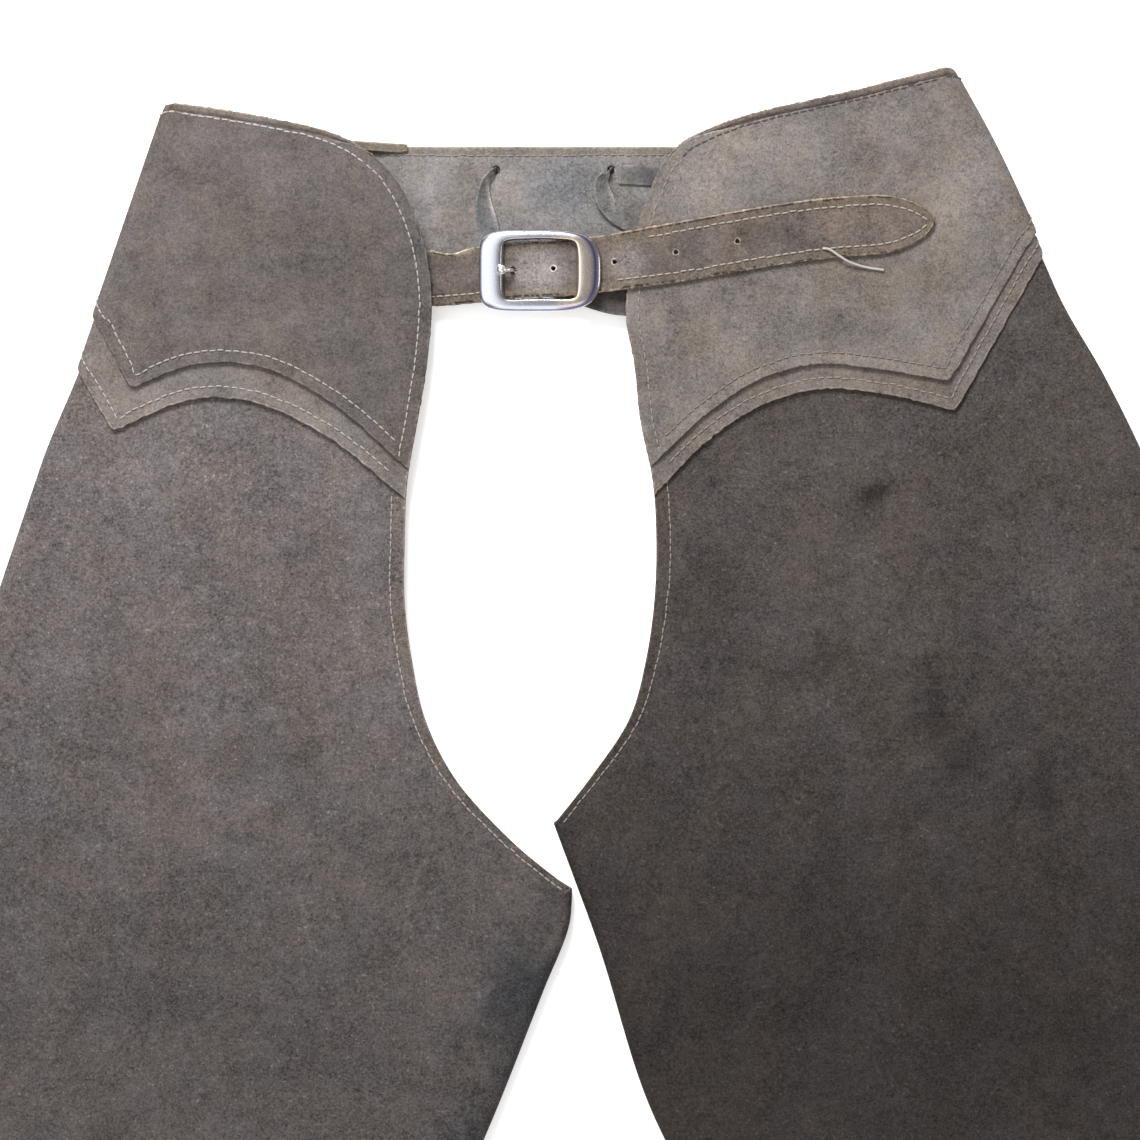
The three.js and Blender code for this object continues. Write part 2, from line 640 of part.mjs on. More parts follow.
// The frame: a domed ring, squarer on the prong side, with the centre bar below it.
const radial = (halfX, halfY, power, angle) => {
  const x = Math.abs(Math.cos(angle)) / halfX;
  const y = Math.abs(Math.sin(angle)) / halfY;
  return 1 / (x ** power + y ** power) ** (1 / power);
};
const frameLow = strapOverBar + strapWall + layGap;
const tiltDrop = (reach) => reach * Math.sin(THREE.MathUtils.degToRad(frameTilt));
const makeFrame = () => {
  const around = 48;
  const section = [
    [0, 0.3], [0.05, 0.66], [0.22, 0.93], [0.5, 1], [0.78, 0.93], [0.95, 0.66], [1, 0.3],
    [0.93, 0], [0.07, 0],
  ];
  const positions = [];
  for (let k = 0; k < around; k++) {
    const angle = (2 * Math.PI * k) / around;
    const power = Math.cos(angle) > 0 ? 3.2 : 5.2;
    const far = radial(frameLength / 2, frameHeight / 2, power, angle);
    const near = radial(windowLength / 2, windowHeight / 2, 10, angle);
    const lean = frameLean * Math.sin(angle) ** 2;
    for (const [share, high] of section) {
      const r = mix(far, near, share);
      positions.push(r * Math.cos(angle), r * Math.sin(angle) + lean * share, high * frameThick);
    }
  }
  const n = section.length;
  const triangles = [];
  for (let k = 0; k < around; k++)
    for (let i = 0; i < n; i++) {
      const a = k * n + i;
      const b = k * n + ((i + 1) % n);
      const c = ((k + 1) % around) * n + ((i + 1) % n);
      const d = ((k + 1) % around) * n + i;
      triangles.push(a, c, b, a, d, c);
    }
  const ring = new THREE.BufferGeometry();
  ring.setAttribute("position", new THREE.Float32BufferAttribute(positions, 3));
  ring.setIndex(triangles);
  ring.rotateY(THREE.MathUtils.degToRad(-frameTilt));
  ring.translate(buckleX, buckleY, frameLow - tiltDrop(frameSettle));
  const barReach = windowHeight / 2 + 2.7;
  const lugTop = frameLow + frameThick * 0.5;
  const barY = buckleY + barShift;
  const post = (y) => toSolid(upright(barSize, buckleX, y, barHeight, lugTop, 10));
  const bar = toSolid(
    new THREE.CylinderGeometry(barSize / 2, barSize / 2, 2 * barReach + barSize * 0.8, 10)
      .translate(buckleX, barY, barHeight));
  const frame = toSolid(ring).add(bar).add(post(barY - barReach)).add(post(barY + barReach));
  addPiece("buckle_frame", toGeometry(frame), chrome);
};
makeFrame();

// The prong: an eye round the centre bar, a stem up through the strap and a tip on the frame.
const makeProng = () => {
  const eye = barSize / 2 + plyGap + prongSize / 2;
  const [holeX, y] = strapHoleAt(0);
  const points = [];
  for (let k = 0; k <= 8; k++) {
    const angle = THREE.MathUtils.degToRad(-150 + k * 30);
    points.push([buckleX + eye * Math.cos(angle), y, barHeight + eye * Math.sin(angle)]);
  }
  const restTop = frameLow - tiltDrop(frameSettle + prongLanding) + frameThick + prongSize / 2;
  const strapTop = strapLow(holeX, y) + strapWall;
  points.push([holeX + 4.6, y, barHeight + eye * 0.6]);
  points.push([holeX + 0.6, y, strapTop - strapWall - 0.5]);
  points.push([holeX, y, strapTop - strapWall / 2]);
  points.push([holeX - 0.3, y, strapTop + 0.9]);
  points.push([holeX - 2.4, y, restTop + 0.3]);
  points.push([holeX - 5.6, y, restTop + 0.75]);
  points.push([holeX - 9.8, y, restTop + 0.45]);
  addPiece("buckle_prong", tube(points, prongSize, 8, 44), chrome);
};
makeProng();

// A thong swept through rows of x, y, height, width, heading in the plan and turn on edge.
const thong = (rows, detail) => {
  const path = new THREE.CatmullRomCurve3(
    rows.map(([x, y, z]) => new THREE.Vector3(x, y, z)), false, "centripetal");
  const value = (column, t) => along(rows.map((row, k) => [k / (rows.length - 1), row[column]]), t);
  const sheet = new Sheet();
  let above = null;
  for (const t of steps(detail * (rows.length - 1))) {
    const centre = path.getPoint(t);
    const ahead = path.getTangent(t);
    const heading = THREE.MathUtils.degToRad(value(4, t));
    const flat = new THREE.Vector3(-Math.sin(heading), Math.cos(heading), 0);
    flat.addScaledVector(ahead, -flat.dot(ahead)).normalize();
    flat.applyAxisAngle(ahead, THREE.MathUtils.degToRad(value(5, t)));
    const face = new THREE.Vector3().crossVectors(ahead, flat);
    const row = sheet.row([-0.5, 0.5].map((v) => (h) =>
      centre.clone().addScaledVector(flat, v * value(3, t)).addScaledVector(face, h).toArray()));
    if (above) sheet.join(above, row);
    above = row;
  }
  return sheet;
};

// The back lace: a tail behind the buckle, through the left hole, across the outside of the
// belt, through the right hole and down to a tail under the right leg.
const lieOn = beltHigh + plyGap + laceWall / 2;
const outside = beltLow / 2 + 0.06;
const makeLace = () => {
  const [left, right] = laceHoles;
  const across = (beltLow + beltHigh) / 2 + 0.4;
  // Rows: x, y, height, width, heading in the plan, turn on edge.
  const rows = [
    [left[0] - 1.5, -60, lieOn, laceWidth, 90, 0],
    [left[0] - 5, -44, lieOn + 0.4, laceWidth, 90, 0],
    [left[0] - 7.5, -32, lieOn + 2.2, laceWidth * 0.86, 90, 24],
    [left[0] - 6, -20, lieOn + 2.8, laceWidth * 0.6, 80, 50],
    [left[0] - 2.5, left[1] - 1.5, lieOn + 2.2, 4, 40, 40],
    [left[0], left[1], across, 4, 0, 0],
    [left[0] + 2.5, left[1], outside + 0.05, 5, 0, 0],
    [left[0] + 14, left[1], outside, laceWidth, 0, 0],
    [right[0] - 14, right[1], outside, laceWidth, 0, 0],
    [right[0] - 2.5, right[1], outside + 0.05, 5, 0, 0],
    [right[0], right[1], across, 4, 0, 0],
    [right[0] - 2, right[1] - 1.5, lieOn + 2.2, 4, -40, -30],
    [right[0] - 5.5, -20, lieOn + 2.4, laceWidth * 0.8, -90, -30],
    [right[0] - 4.5, -29, lieOn + 2.2, laceWidth, -80, -20],
    [right[0] + 1.5, -38, lieOn + 1, laceWidth, -50, -8],
    [right[0] + 13, -45, lieOn, laceWidth, -25, 0],
    [right[0] + laceTail, -50, lieOn, laceWidth, -20, 0],
  ];
  addPiece("back_lace", thong(rows, 3).wall(-laceWall / 2, laceWall / 2), beltSuede);
  const end = [[0.11, -2.5], [0.55, -3.5], [1, -4]].map(([share, y]) =>
    [right[0] + share * laceEndRun, y - laceDrop, lieOn, laceWidth, 0, 0]);
  addPiece("lace_end", thong(end, 2).wall(-laceWall / 2, laceWall / 2), beltSuede);
};
makeLace();

// The short end of the left back hem, just inside the leg's back and above the belt's edge.
const makeHemStrip = () => {
  const low = stackHeight + legWall + plyGap;
  const sheet = new Sheet();
  let above = null;
  for (const v of [0, 1]) {
    const row = sheet.row(steps(4).map((u) => (h) => {
      const x = hemStripX - u * hemStripLength;
      const top = 4.2 - 0.06 * (1 - u) * hemStripLength;
      const wide = hemStripWidth + (u > 0 ? 0.8 : -0.6);
      return [x, top - v * wide, low + h];
    }));
    if (above) sheet.join(above, row);
    above = row;
  }
  addPiece("left_back_hem", sheet.wall(0, yokePly), yokeSuede);
};
makeHemStrip();

// The origin is on the ground, under the middle of the whole.
const box = new THREE.Box3().setFromObject(chaps);
chaps.position.set(-(box.min.x + box.max.x) / 2, -(box.min.y + box.max.y) / 2, -box.min.z);

export default chaps;
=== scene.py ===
# Western chaps of rough suede, laid flat on their back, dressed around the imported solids.
# Lengths are millimetres while a shape is worked out, and metres once it is a mesh. +Z up.
import bmesh
import bpy
import numpy as np
from math import radians
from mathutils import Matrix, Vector


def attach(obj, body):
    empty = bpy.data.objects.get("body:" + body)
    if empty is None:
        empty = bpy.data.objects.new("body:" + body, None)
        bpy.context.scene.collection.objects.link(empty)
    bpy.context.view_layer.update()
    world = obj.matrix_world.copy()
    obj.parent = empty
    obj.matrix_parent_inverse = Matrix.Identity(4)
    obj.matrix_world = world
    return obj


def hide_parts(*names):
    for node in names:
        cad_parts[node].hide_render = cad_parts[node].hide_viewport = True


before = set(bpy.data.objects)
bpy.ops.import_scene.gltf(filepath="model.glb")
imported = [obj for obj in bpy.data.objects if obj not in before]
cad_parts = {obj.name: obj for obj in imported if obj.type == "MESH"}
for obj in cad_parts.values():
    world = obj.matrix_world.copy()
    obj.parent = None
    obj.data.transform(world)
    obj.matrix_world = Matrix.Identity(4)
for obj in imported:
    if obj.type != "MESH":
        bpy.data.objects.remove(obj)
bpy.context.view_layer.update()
rng = np.random.default_rng(52)

# Millimetres from the middle of the waist to the middle of the whole outline
shift = np.array([-23.13, 534.50, 0.01])

viewSettings = dict(middle=(-0.0173, 0.288), width=0.6612, height=3.0, top=0.016, sensor=36.0, clip=(0.1, 20))


def makeCamera(s):
    # It looks straight down, through a lens that takes in the width at the leather's top.
    data = bpy.data.cameras.new("camera")
    data.sensor_width = s["sensor"]
    data.lens = s["sensor"] * (s["height"] - s["top"]) / s["width"]
    data.clip_start, data.clip_end = s["clip"]
    camera = bpy.data.objects.new("camera", data)
    camera.location = (*s["middle"], s["height"])
    bpy.context.scene.collection.objects.link(camera)
    bpy.context.scene.camera = camera


makeCamera(viewSettings)
print("camera made")

# Shader maths


class Value:
    # A wrapped socket: an expression on it adds the Math nodes.
    def __init__(self, shader, socket):
        self.shader = shader
        self.socket = socket

    def math(self, operation, *values):
        return self.shader.node("ShaderNodeMath", {"operation": operation}, dict(enumerate(values)))

    def __add__(self, other):
        return self.math("ADD", self, other)

    __radd__ = __add__

    def __sub__(self, other):
        return self.math("SUBTRACT", self, other)

    def __rsub__(self, other):
        return self.math("SUBTRACT", other, self)

    def __mul__(self, other):
        return self.math("MULTIPLY", self, other)

    __rmul__ = __mul__


class Shader:
    # A material and the nodes that it is made of.
    def __init__(self, name):
        self.material = bpy.data.materials.new(name)
        self.material.use_nodes = True
        self.nodes = self.material.node_tree.nodes
        self.links = self.material.node_tree.links
        self.nodes.clear()

    def node(self, kind, settings=None, inputs=None, output=0):
        # One node: its type, its settings, and then the values or links of its sockets.
        made = self.nodes.new(kind)
        for key, value in (settings or {}).items():
            setattr(made, key, value)
        for key, value in (inputs or {}).items():
            if isinstance(value, Value):
                self.links.new(value.socket, made.inputs[key])
            else:
                made.inputs[key].default_value = value
        return None if output is None else Value(self, made.outputs[output])

    def place(self):
        return self.node("ShaderNodeTexCoord", output="Object")

    def turned(self, vector, turn=(0, 0, 0), scale=(1, 1, 1), move=(0, 0, 0)):
        # A pattern is moved, turned and stretched by these amounts.
        return self.node("ShaderNodeMapping", {"vector_type": "TEXTURE"}, {
            "Vector": vector, "Location": move, "Rotation": turn, "Scale": scale})

    def noise(self, vector, scale, detail=2, rough=0.5, output=0):
        return self.node("ShaderNodeTexNoise", {}, {
            "Vector": vector, "Scale": scale, "Detail": detail, "Roughness": rough}, output)

    def between(self, value, low, high):
        # 0 below low, 1 above high, smooth in between.
        return self.node("ShaderNodeMapRange", {"interpolation_type": "SMOOTHSTEP"}, {
            "Value": value, "From Min": low, "From Max": high})

    def vector(self, operation, *values, output=0):
        return self.node("ShaderNodeVectorMath", {"operation": operation}, dict(enumerate(values)), output)

    def mixColour(self, factor, first, second):
        return self.node("ShaderNodeMix", {"data_type": "RGBA"}, {0: factor, 6: first, 7: second}, 2)

    def finish(self, constants, links):
        shaded = self.node("ShaderNodeBsdfPrincipled", {}, {**constants, **links})
        self.node("ShaderNodeOutputMaterial", {}, {"Surface": shaded}, None)
        return self.material

    def attribute(self, name, output="Fac"):
        return self.node("ShaderNodeAttribute", {"attribute_name": name}, {}, output)

    def scaled(self, colour, value):
        return self.node("ShaderNodeVectorMath", {"operation": "SCALE"}, {0: colour, "Scale": value})

    def bump(self, strength, distance, height):
        return self.node("ShaderNodeBump", {}, {"Strength": strength, "Distance": distance, "Height": height})


# Suede

# The light that reaches a white floor, in shares of white: an albedo is a seen colour over it.
flood = 1.7


def albedo(red, green, blue):
    # Each 0 to 255 screen value becomes a linear share of light, over the flood of light.
    c = np.array([red, green, blue]) / 255
    return tuple(np.where(c <= 0.04045, c / 12.92, ((c + 0.055) / 1.055) ** 2.4) / flood)


# Each layer of noise in the brightness: its detail, its roughness and its gain.
noiseLayers = dict(
    broad=(2, 0.5, 4), clouds=(4, 0.6, 4), patches=(2, 0.5, 4),
    mottle=(2, 0.5, 2), grain=(2, 0.6, 2), fine=(1, 0.5, 2),
)
suedeLook = dict(
    # Scale and depth of each layer
    broad=(11, 0.14), clouds=(38, 0.25), patches=(130, 0.13),
    mottle=(330, 0.3), grain=(720, 0.8), fine=(1400, 0.5),
    # Scale of the noise, the value from which it shows, and how pale it is; a rise later it is full
    flecks=(480, 0.7, 0.5), fleckRise=0.06, fibres=(300, 0.73, 0.35), fibreRise=0.05,
    fibreTurns=(20, 75, 130), fibreStretch=6,
    tint=34, tintRange=(0.34, 0.66), cool=(0.975, 0.98, 1.02), brown=(1.035, 0.995, 0.955),
    spotHeight=0.012, spotReach=0.05, spotRagged=1.3,
    # How much paler the cut rims are: partly pale cut fibres, partly a painted highlight along the edges
    rimPaleAndHighlight=0.8, rimRange=(0.3, 0.65), rimLeast=0.3, warm=(1.04, 1.0, 0.94),
    relief=dict(grain=0.6, fine=0.4, fibres=0.25), bump=0.4, bumpHeight=0.0008, roughness=0.95, specular=0.12,
)


def makeSuede(name, colour, changes=None, spots=(), fade=None):
    # Brightness is 1 plus the layers of noise, less the spots, plus pale flecks and fibres. A slower noise
    # turns the hue between cool and brown, the cut rim is paler (partly pale cut fibres, partly a painted
    # highlight), and warm points are warmer.
    s = {**suedeLook, **(changes or {})}
    sh = Shader(name)
    place = sh.place()
    noise, light = {}, 1
    for layer, (detail, rough, gain) in noiseLayers.items():
        scale, depth = s[layer]
        noise[layer] = sh.noise(place, scale, detail, rough)
        light = light + (noise[layer] - 0.5) * (gain * depth)
    if fade:
        # Light changes up the leg, from one end's share to the other's.
        start, end, low, high = fade
        upTheLeg = sh.node("ShaderNodeSeparateXYZ", {}, {0: place}, "Y")
        light = light * (sh.between(upTheLeg, start, end) * (high - low) + low)
    hue = sh.between(sh.noise(place, s["tint"], 3), *s["tintRange"])
    tone = sh.mixColour(hue, (*s["cool"], 1), (*s["brown"], 1))
    for x, y, across, down, turn, depths in spots:
        # A soft oval, with an edge that the clouds break up; each colour loses its own share.
        size, middle = (across, down, s["spotReach"]), (x, y, s["spotHeight"])
        oval = sh.turned(place, (0, 0, radians(turn)), size, middle)
        near = sh.vector("LENGTH", oval, output="Value")
        share = sh.between(near + (noise["clouds"] - 0.5) * s["spotRagged"], 1.0, 0.0)
        grey = sh.node("ShaderNodeCombineXYZ", {}, {0: share, 1: share, 2: share})
        kept = sh.vector("MULTIPLY_ADD", grey, tuple(-depth for depth in depths), (1, 1, 1))
        tone = sh.vector("MULTIPLY", tone, kept)
    tone = sh.vector("MULTIPLY", tone, sh.mixColour(sh.attribute("warm"), (1, 1, 1, 1), (*s["warm"], 1)))
    plain = sh.scaled(sh.vector("MULTIPLY", tone, colour), light)
    fleckScale, fleckFrom, fleckLight = s["flecks"]
    flecks = sh.between(sh.noise(place, fleckScale, 1), fleckFrom, fleckFrom + s["fleckRise"])
    fibreScale, fibreFrom, fibreLight = s["fibres"]
    combed = [sh.turned(place, (0, 0, radians(turn)), (1, s["fibreStretch"], 1), (k, 0, 0))
              for k, turn in enumerate(s["fibreTurns"])]
    fibres = sum(sh.between(sh.noise(at, 2 * fibreScale, 1), fibreFrom, fibreFrom + s["fibreRise"])
                 for at in combed)
    # The cut rim is painted paler, unevenly: partly pale fibres, partly a painted highlight.
    uneven = sh.between(noise["mottle"], *s["rimRange"]) * (1 - s["rimLeast"]) + s["rimLeast"]
    rim = sh.attribute("rim") * uneven
    pale = flecks * fleckLight + fibres * fibreLight + rim * s["rimPaleAndHighlight"]
    relief = s["relief"]
    height = noise["grain"] * relief["grain"] + noise["fine"] * relief["fine"] + fibres * relief["fibres"]
    return sh.finish(
        {"Roughness": s["roughness"], "Specular IOR Level": s["specular"]},
        {"Base Color": sh.scaled(plain, pale + 1), "Normal": sh.bump(s["bump"], s["bumpHeight"], height)},
    )


# Millimetres on the leather for each unit of the picture's frame, which is 1140 units wide
pixel = 0.58
waistMiddle = (560, 145)


def onLeather(px, py):
    # A place in the picture's frame becomes millimetres from the middle of the waist.
    return (px - waistMiddle[0]) * pixel, (waistMiddle[1] - py) * pixel


def spots(rows):
    # A row is a spot's place, half width and half height in the picture's frame, its turn in degrees, the
    # share of light that it takes, and how much more than that it takes of red, and less of blue.
    made = []
    for px, py, across, down, turn, depth, *red in rows:
        x, y = onLeather(px, py)
        more = red[0] if red else 0
        made.append(((x + shift[0]) / 1000, (y + shift[1]) / 1000, across * pixel / 1000, down * pixel / 1000,
                     turn, (depth + more, depth, depth - more)))
    return made


leftSpots = spots([
    (150, 480, 70, 40, 20, -0.1), (330, 560, 110, 50, 10, 0.1), (120, 700, 90, 60, 60, 0.1),
    (420, 900, 120, 70, 40, 0.1), (250, 1050, 130, 60, 0, 0.08), (530, 1000, 80, 190, -22, 0.42, 0.06),
    (240, 760, 160, 70, 0, 0.12),
    (306, 922, 4, 50, 12, -0.5), (30, 780, 40, 60, 0, -0.16, 0.04), (200, 620, 60, 50, 0, -0.08),
])
rightSpots = spots([
    (880, 490, 26, 12, 25, 0.4), (865, 500, 40, 22, 30, 0.2), (820, 670, 70, 30, 20, 0.2),
    (930, 700, 34, 60, 10, 0.3), (960, 750, 46, 44, 0, 0.25), (1045, 790, 18, 60, 5, 0.3),
    (700, 600, 60, 110, 0, 0.12), (800, 950, 140, 80, 30, 0.04), (1010, 1010, 110, 90, 0, 0.1),
    (1060, 600, 90, 110, 0, -0.22, 0.02), (740, 470, 90, 40, -20, -0.12), (700, 470, 50, 40, 0, 0.14),
])
yokeSpots = dict(
    left=spots([(300, 175, 80, 50, 10, -0.1), (150, 330, 60, 40, 0, -0.08), (260, 290, 90, 50, 0, 0.08)]),
    right=spots([
        (760, 140, 130, 55, -12, -0.42), (700, 190, 50, 60, 30, -0.36), (965, 190, 55, 110, -25, -0.3),
        (880, 120, 60, 40, -12, -0.3), (940, 340, 40, 60, 0, -0.15), (760, 330, 60, 30, 0, -0.12),
        (900, 280, 110, 60, 0, 0.16), (830, 330, 100, 40, 0, 0.1), (790, 310, 50, 30, 0, -0.1),
        (730, 350, 50, 40, 0, -0.12), (880, 160, 60, 30, 0, 0.1),
    ]),
)
strapSpots = spots([
    (540, 272, 46, 34, 0, -1.5, 0.24), (628, 262, 34, 30, 0, -0.8, 0.06), (585, 285, 16, 12, 0, 0.2),
    # A thin pale line on the sagging upper edge: a painted highlight.
    (453, 251, 32, 5, 0, -1.1, 0.06),
    (760, 235, 70, 16, -5, 0.22), (860, 225, 90, 34, -4, -0.36, -0.06), (690, 250, 30, 14, 0, 0.1),
])
# Painted shade in the left lace hole and painted shadows around the right lace loop, with two patches of
# tone.
beltSpotsAndShade = spots([
    (497.5, 170, 5.5, 5.5, 0, 0.5), (560, 190, 60, 40, 0, 0.02, 0.05), (628, 205, 24, 20, 0, 0.14),
    (450, 200, 40, 60, 0, 0.3, -0.04), (606, 205, 10, 26, -20, 0.3),
])
# Painted shade in both lace holes and under and beside the thongs, and painted highlights along the thongs'
# lit cut edges.
laceShadeAndHighlights = spots([
    (497.5, 169.5, 7.5, 7, 0, 0.86), (612.5, 169.5, 7, 7, 0, 0.8), (645, 175, 32, 18, 0, 0.45),
    (640, 205, 24, 20, 20, 0.3), (480, 205, 12, 36, 0, 0.15, 0.06),
    (491, 198, 4.5, 34, 11, -1.3, -0.05), (611, 192, 4, 26, 12, -0.7, -0.03),
])
legLook = dict(
    clouds=(38, 0.18), patches=(130, 0.16), mottle=(330, 0.38), grain=(720, 1.0), flecks=(480, 0.668, 0.6),
)
yokeLook = dict(flecks=(480, 0.73, 0.3), fibres=(300, 0.76, 0.25), grain=(720, 0.7))
topLook = {**yokeLook, "rimPaleAndHighlight": 0.3}
beltLook = dict(
    flecks=(480, 0.75, 0.3), fibres=(300, 0.77, 0.3), grain=(720, 0.6), rimPaleAndHighlight=0.3, warm=(0.9, 0.84, 0.75),
)
strapLook = dict(
    flecks=(480, 0.73, 0.4), fibres=(300, 0.76, 0.3), patches=(130, 0.2),
    # The strap's cut rims take the strongest painted highlight.
    rimPaleAndHighlight=1.5, warm=(1.09, 1.06, 0.98),
)
suedes = dict(
    left=dict(
        leg=makeSuede("left_leg_suede", albedo(108, 102, 101), legLook, leftSpots, (0.0, 0.36, 0.77, 1.28)),
        band=makeSuede("left_band_suede", albedo(136, 129, 125), {**yokeLook, "warm": (0.97, 0.92, 0.84)}),
        yoke=makeSuede("left_yoke_suede", albedo(118, 111, 108), {**topLook, "rimPaleAndHighlight": 0.6},
                       yokeSpots["left"]),
    ),
    right=dict(
        leg=makeSuede("right_leg_suede", albedo(72, 67, 65), legLook, rightSpots, (0.0, 0.36, 0.77, 1.57)),
        band=makeSuede("right_band_suede", albedo(130, 122, 117), {**yokeLook, "warm": (1.08, 1.04, 0.98)}),
        yoke=makeSuede("right_yoke_suede", albedo(136, 129, 124), topLook, yokeSpots["right"]),
    ),
)
beltSuede = makeSuede("belt_suede", albedo(154, 150, 148), beltLook, beltSpotsAndShade)
strapSuede = makeSuede("strap_suede", albedo(119, 110, 104), strapLook, strapSpots)
loopSuede = makeSuede("loop_suede", albedo(92, 86, 84), strapLook)
hemSuede = makeSuede("hem_suede", albedo(138, 130, 115), yokeLook)
laceSuede = makeSuede("lace_suede", albedo(140, 138, 138), {**beltLook, "rimPaleAndHighlight": 0.35}, laceShadeAndHighlights)

threadLook = dict(twist=1800, depth=0.6, bump=0.4, bumpHeight=0.0003, roughness=0.8)
threadColours = dict(
    cream=(196, 187, 174), belt=(168, 162, 156), pale=(214, 208, 204), dark=(96, 91, 88),
    left_yoke=(200, 193, 188), right_yoke=(152, 144, 135), right_band=(166, 158, 149),
    left_leg=(186, 178, 170), right_leg=(160, 153, 146),
)


def makeThread(name, colour, s):
    # Twisted thread: fine noise over one pale colour.
    sh = Shader(name)
    twist = sh.noise(sh.place(), s["twist"], 1)
    base = sh.scaled(colour, (twist - 0.5) * s["depth"] + 1)
    return sh.finish({"Roughness": s["roughness"]},
                     {"Base Color": base, "Normal": sh.bump(s["bump"], s["bumpHeight"], twist)})


threads = {name: makeThread(name + "_thread", albedo(*colour), threadLook)
           for name, colour in threadColours.items()}
# The thread of each row of stitches, and where the leg's row starts on its front edge
sideThreads = dict(
    left=dict(low="left_yoke", front="left_yoke", waist="pale", band="left_yoke",
              leg="left_leg", legFrom=0.442),
    right=dict(low="right_yoke", front="right_band", waist="dark", band="right_band",
               leg="right_leg", legFrom=0.478),
)

chromeLook = dict(scuffs=900, stretch=4, turn=0.5, roughness=(0.24, 0.34), range=(0.5, 0.9))


def makeChrome(name, s):
    # Polished plate: a soft mirror whose base colour is the tone given to its points (on the frame, a painted
    # reflection of a room), and scuffed by stretched noise.
    sh = Shader(name)
    scuff = sh.noise(sh.turned(sh.place(), (0, 0, s["turn"]), (1, s["stretch"], 1)), s["scuffs"], 2)
    least, most = s["roughness"]
    rough = sh.between(scuff, *s["range"]) * (most - least) + least
    return sh.finish({"Metallic": 1.0}, {"Base Color": sh.attribute("tone", "Color"), "Roughness": rough})


chrome = makeChrome("polished_chrome", chromeLook)
print("materials made")

# Curves


def smooth(low, high, x):
    # 0 below low, 1 above high, and three squares less two cubes of the way in between.
    t = np.clip((np.asarray(x, float) - low) / (high - low), 0, 1)
    return t * t * (3 - 2 * t)


def mix(a, b, t):
    # From a to b, by the share t.
    return a + (b - a) * t


def along(rows, x):
    # A smooth run through (x, value) rows: straight between rows plus a bend that meets both slopes.
    xs, ys = np.array(rows, float).T
    x = np.asarray(x, float)
    last = len(xs) - 1
    low, high = np.maximum(np.arange(last + 1) - 1, 0), np.minimum(np.arange(last + 1) + 1, last)
    slopes = (ys[high] - ys[low]) / (xs[high] - xs[low])
    i = np.clip(np.searchsorted(xs, x, side="right") - 1, 0, last - 1)
    span, rise = xs[i + 1] - xs[i], ys[i + 1] - ys[i]
    t = np.clip((x - xs[i]) / span, 0, 1)
    bend = (1 - t) * (slopes[i] * span - rise) - t * (slopes[i + 1] * span - rise)
    return ys[i] + t * rise + t * (1 - t) * bend


def walked(path):
    # The distance along a path to each of its points.
    return np.concatenate([[0], np.cumsum(np.linalg.norm(np.diff(path, axis=0), axis=1))])


def sampled(at, walk, path):
    # The path's points at these distances along it.
    return np.stack([np.interp(at, walk, path[:, k]) for k in range(path.shape[1])], -1)


def catmullRom(points, each):
    # A centripetal Catmull-Rom curve: a cubic between neighbours, which meets the slopes at both.
    p = np.array(points, float)
    p = np.vstack([2 * p[0] - p[1], p, 2 * p[-1] - p[-2]])
    gap = np.maximum(np.linalg.norm(np.diff(p, axis=0), axis=1) ** 0.5, 1e-4)
    t = np.linspace(0, 1, each, endpoint=False)[:, None]
    runs = []
    for k in range(len(p) - 3):
        a, b, c, d = p[k:k + 4]
        g0, g1, g2 = gap[k:k + 3]
        start = ((b - a) / g0 - (c - a) / (g0 + g1) + (c - b) / g1) * g1
        stop = ((c - b) / g1 - (d - b) / (g1 + g2) + (d - c) / g2) * g1
        square, cube = 3 * (c - b) - 2 * start - stop, 2 * (b - c) + start + stop
        runs.append(b + start * t + square * t**2 + cube * t**3)
    return np.vstack([*runs, p[-2:-1]])


def roundCurve(points, count=2400):
    # A smooth curve through the points, resampled evenly by its length.
    line = catmullRom(points, max(2, count // (len(points) - 1)))
    walk = walked(line)
    share = walk / walk[-1]

    def at(s):
        return sampled(s, share, line)

    at.length = walk[-1]
    at.line = line
    return at


def straight(start, end):
    # A straight run from start to end.
    start, end = np.array(start, float), np.array(end, float)
    return lambda s: start + (end - start) * np.asarray(s, float)[..., None]


def patch(top, bottom, left, right):
    # A blend of four border curves that share their corners: both pairs' blends, less the corners'.
    def at(u, v):
        u, v = np.broadcast_arrays(np.asarray(u, float), np.asarray(v, float))
        uu, vv = u[..., None], v[..., None]
        ends = [mix(curve(np.zeros(1)), curve(np.ones(1)), uu) for curve in (top, bottom)]
        return mix(top(u), bottom(u), vv) + mix(left(v), right(v), uu) - mix(*ends, vv)
    return at


# Leather shells


def unit(x):
    # Each vector over its length.
    return x / np.maximum(np.linalg.norm(x, axis=-1, keepdims=True), 1e-9)


def gridQuads(rows, columns, first=0, wrap=False):
    # Cells of a grid whose vertices are numbered row by row.
    i, j = np.meshgrid(np.arange(rows - 1), np.arange(columns if wrap else columns - 1), indexing="ij")
    a = first + i * columns + j
    b = first + i * columns + (j + 1) % columns
    return np.stack([a, b, b + columns, a + columns], -1).reshape(-1, 4)


def gridRing(rows, columns, first=0):
    # The border of a grid, once round.
    index = first + np.arange(rows * columns).reshape(rows, columns)
    return np.concatenate([index[0, :-1], index[:-1, -1], index[-1, :0:-1], index[:0:-1, 0]])


def torusQuads(rows, columns):
    # Cells of a grid that closes on itself both ways.
    a, b, c, d = gridQuads(rows + 1, columns, wrap=True).T
    return np.stack([a, d, c, b], -1) % (rows * columns)


def joined(parts):
    # Parts of points and groups of faces become one.
    points, faces, used = [], [], 0
    for some, groups in parts:
        points.append(some)
        faces += [group + used for group in groups]
        used += len(some)
    return np.vstack(points), faces


def turnOutwards(mesh):
    # The faces of closed forms point away from them.
    work = bmesh.new()
    work.from_mesh(mesh)
    bmesh.ops.recalc_face_normals(work, faces=work.faces)
    work.to_mesh(mesh)
    work.free()


